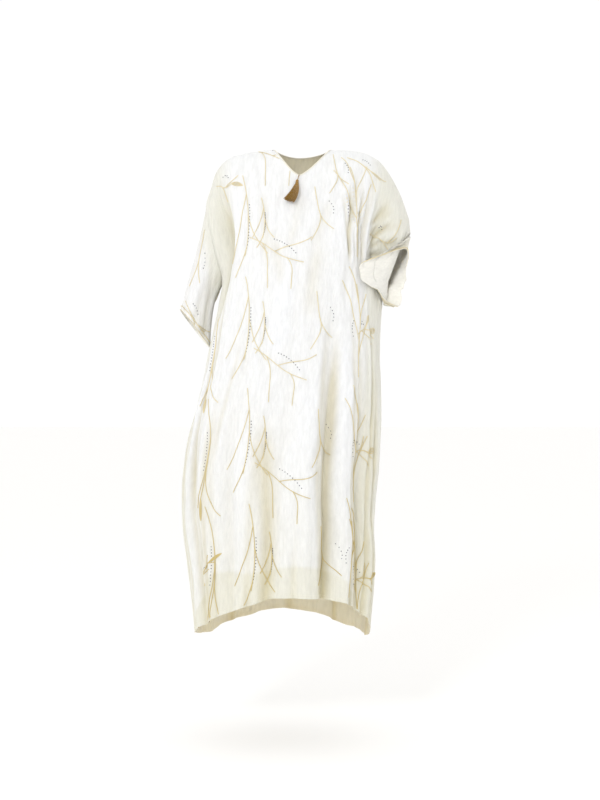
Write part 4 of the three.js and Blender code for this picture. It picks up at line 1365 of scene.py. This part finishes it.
def tassel_core():
    """The bound head and neck under the windings."""
    shape = bmesh.new()
    bmesh.ops.create_icosphere(shape, subdivisions=3, radius=TASSEL["head"] * 0.84 * METRE)
    bmesh.ops.translate(shape, verts=shape.verts, vec=TASSEL_ROOT * METRE)
    rings = []
    for share, radius in CORE:
        centre = middle_line([share])[0]
        ring = []
        for n in range(CORE_SIDES):
            angle = 2 * math.pi * n / CORE_SIDES
            at = centre + radius * (tassel_across * math.cos(angle) + tassel_deep * math.sin(angle))
            ring.append(shape.verts.new(at * METRE))
        rings.append(ring)
    for one, two in zip(rings, rings[1:]):
        for n in range(CORE_SIDES):
            m = (n + 1) % CORE_SIDES
            shape.faces.new((one[n], two[n], two[m], one[m]))
    shape.faces.new(rings[0])
    shape.faces.new(rings[-1][::-1])
    bmesh.ops.recalc_face_normals(shape, faces=shape.faces)
    mesh = bpy.data.meshes.new("tassel_head")
    shape.to_mesh(mesh)
    shape.free()
    return mesh


new_piece("tassel_head", tassel_core(), tassel_silk, ())

# two twisted threads hold the tassel to the point of the V
TWIST = {"points": 60, "turns": 2.5, "apart": 0.6, "thread": 0.62}
v_point = neck_line[GRID["neck"] // 2]
cord_start = v_point + np.array([0.0, -(EDGE_RADIUS + 0.9), 0.6])
to_start = cord_start - TASSEL_ROOT
cord_end = TASSEL_ROOT + to_start / np.linalg.norm(to_start) * (TASSEL["head"] * 0.8)
turns = np.linspace(0, 1, TWIST["points"])[:, None]
cord_way = (cord_end - cord_start) / np.linalg.norm(cord_end - cord_start)
cord_side = np.cross(cord_way, [1.0, 0, 0])
cord_side /= np.linalg.norm(cord_side)
cord_other = np.cross(cord_way, cord_side)
strands, strand_edges = [], []
for n in range(2):
    spin = turns * 2 * math.pi * TWIST["turns"] + math.pi * n
    aside = TWIST["apart"] * (cord_side * np.cos(spin) + cord_other * np.sin(spin))
    strands.append(cord_start + (cord_end - cord_start) * turns + aside)
    first = TWIST["points"] * n
    strand_edges += [(first + k, first + k + 1) for k in range(TWIST["points"] - 1)]
tassel_cord = grown(
    "tassel_cord_threads",
    np.vstack(strands),
    strand_edges,
    cord_tree,
    tassel_silk,
    Radius=TWIST["thread"] * METRE,
    Sides=6,
)
new_piece("tassel_cord_threads", tassel_cord, tassel_silk, ("tassel_cord",))


# ------------------------------------------------------------------ studio
FLOOR = {"half": 60.0, "height": -1.512}
KEY = {"place": (-1.3, -4.1, 1.2), "aim": (0, 0, -0.6), "size": 0.8, "watts": 62}
SKY_STRENGTH = 1.02


def linked(name, data):
    made = bpy.data.objects.new(name, data)
    bpy.context.scene.collection.objects.link(made)
    return made


def studio():
    half, low = FLOOR["half"], FLOOR["height"]
    floor_mesh = bpy.data.meshes.new("studio_floor")
    corners = [(-half, -half, low), (half, -half, low), (half, half, low), (-half, half, low)]
    floor_mesh.from_pydata(corners, [], [(0, 1, 2, 3)])
    floor = linked("studio_floor", floor_mesh)
    material, _, shader = new_material("matt_white_studio_vinyl")
    shader.inputs["Base Color"].default_value = linear("#FDFCFB")
    shader.inputs["Roughness"].default_value = 0.9
    floor_mesh.materials.append(material)
    world = bpy.data.worlds.new("white_studio")
    world.use_nodes = True
    sky = world.node_tree.nodes["Background"]
    sky.inputs["Color"].default_value = linear("#FFFFFE")
    sky.inputs["Strength"].default_value = SKY_STRENGTH
    bpy.context.scene.world = world
    light = bpy.data.lights.new("key", "AREA")
    light.size, light.energy = KEY["size"], KEY["watts"]
    lamp = linked("key", light)
    lamp.location = KEY["place"]
    way = Vector(KEY["aim"]) - Vector(KEY["place"])
    lamp.rotation_euler = way.to_track_quat("-Z", "Y").to_euler()


studio()
bpy.context.scene.view_settings.view_transform = "Standard"
camera = bpy.data.cameras.new("camera")
camera.lens, camera.sensor_width, camera.sensor_fit = 70.0, 36.0, "AUTO"
camera.clip_end = 50
viewer = linked("camera", camera)
viewer.location = (-0.005, -4.0, -0.6425)
viewer.rotation_euler = (math.pi / 2, 0, 0)
bpy.context.scene.camera = viewer
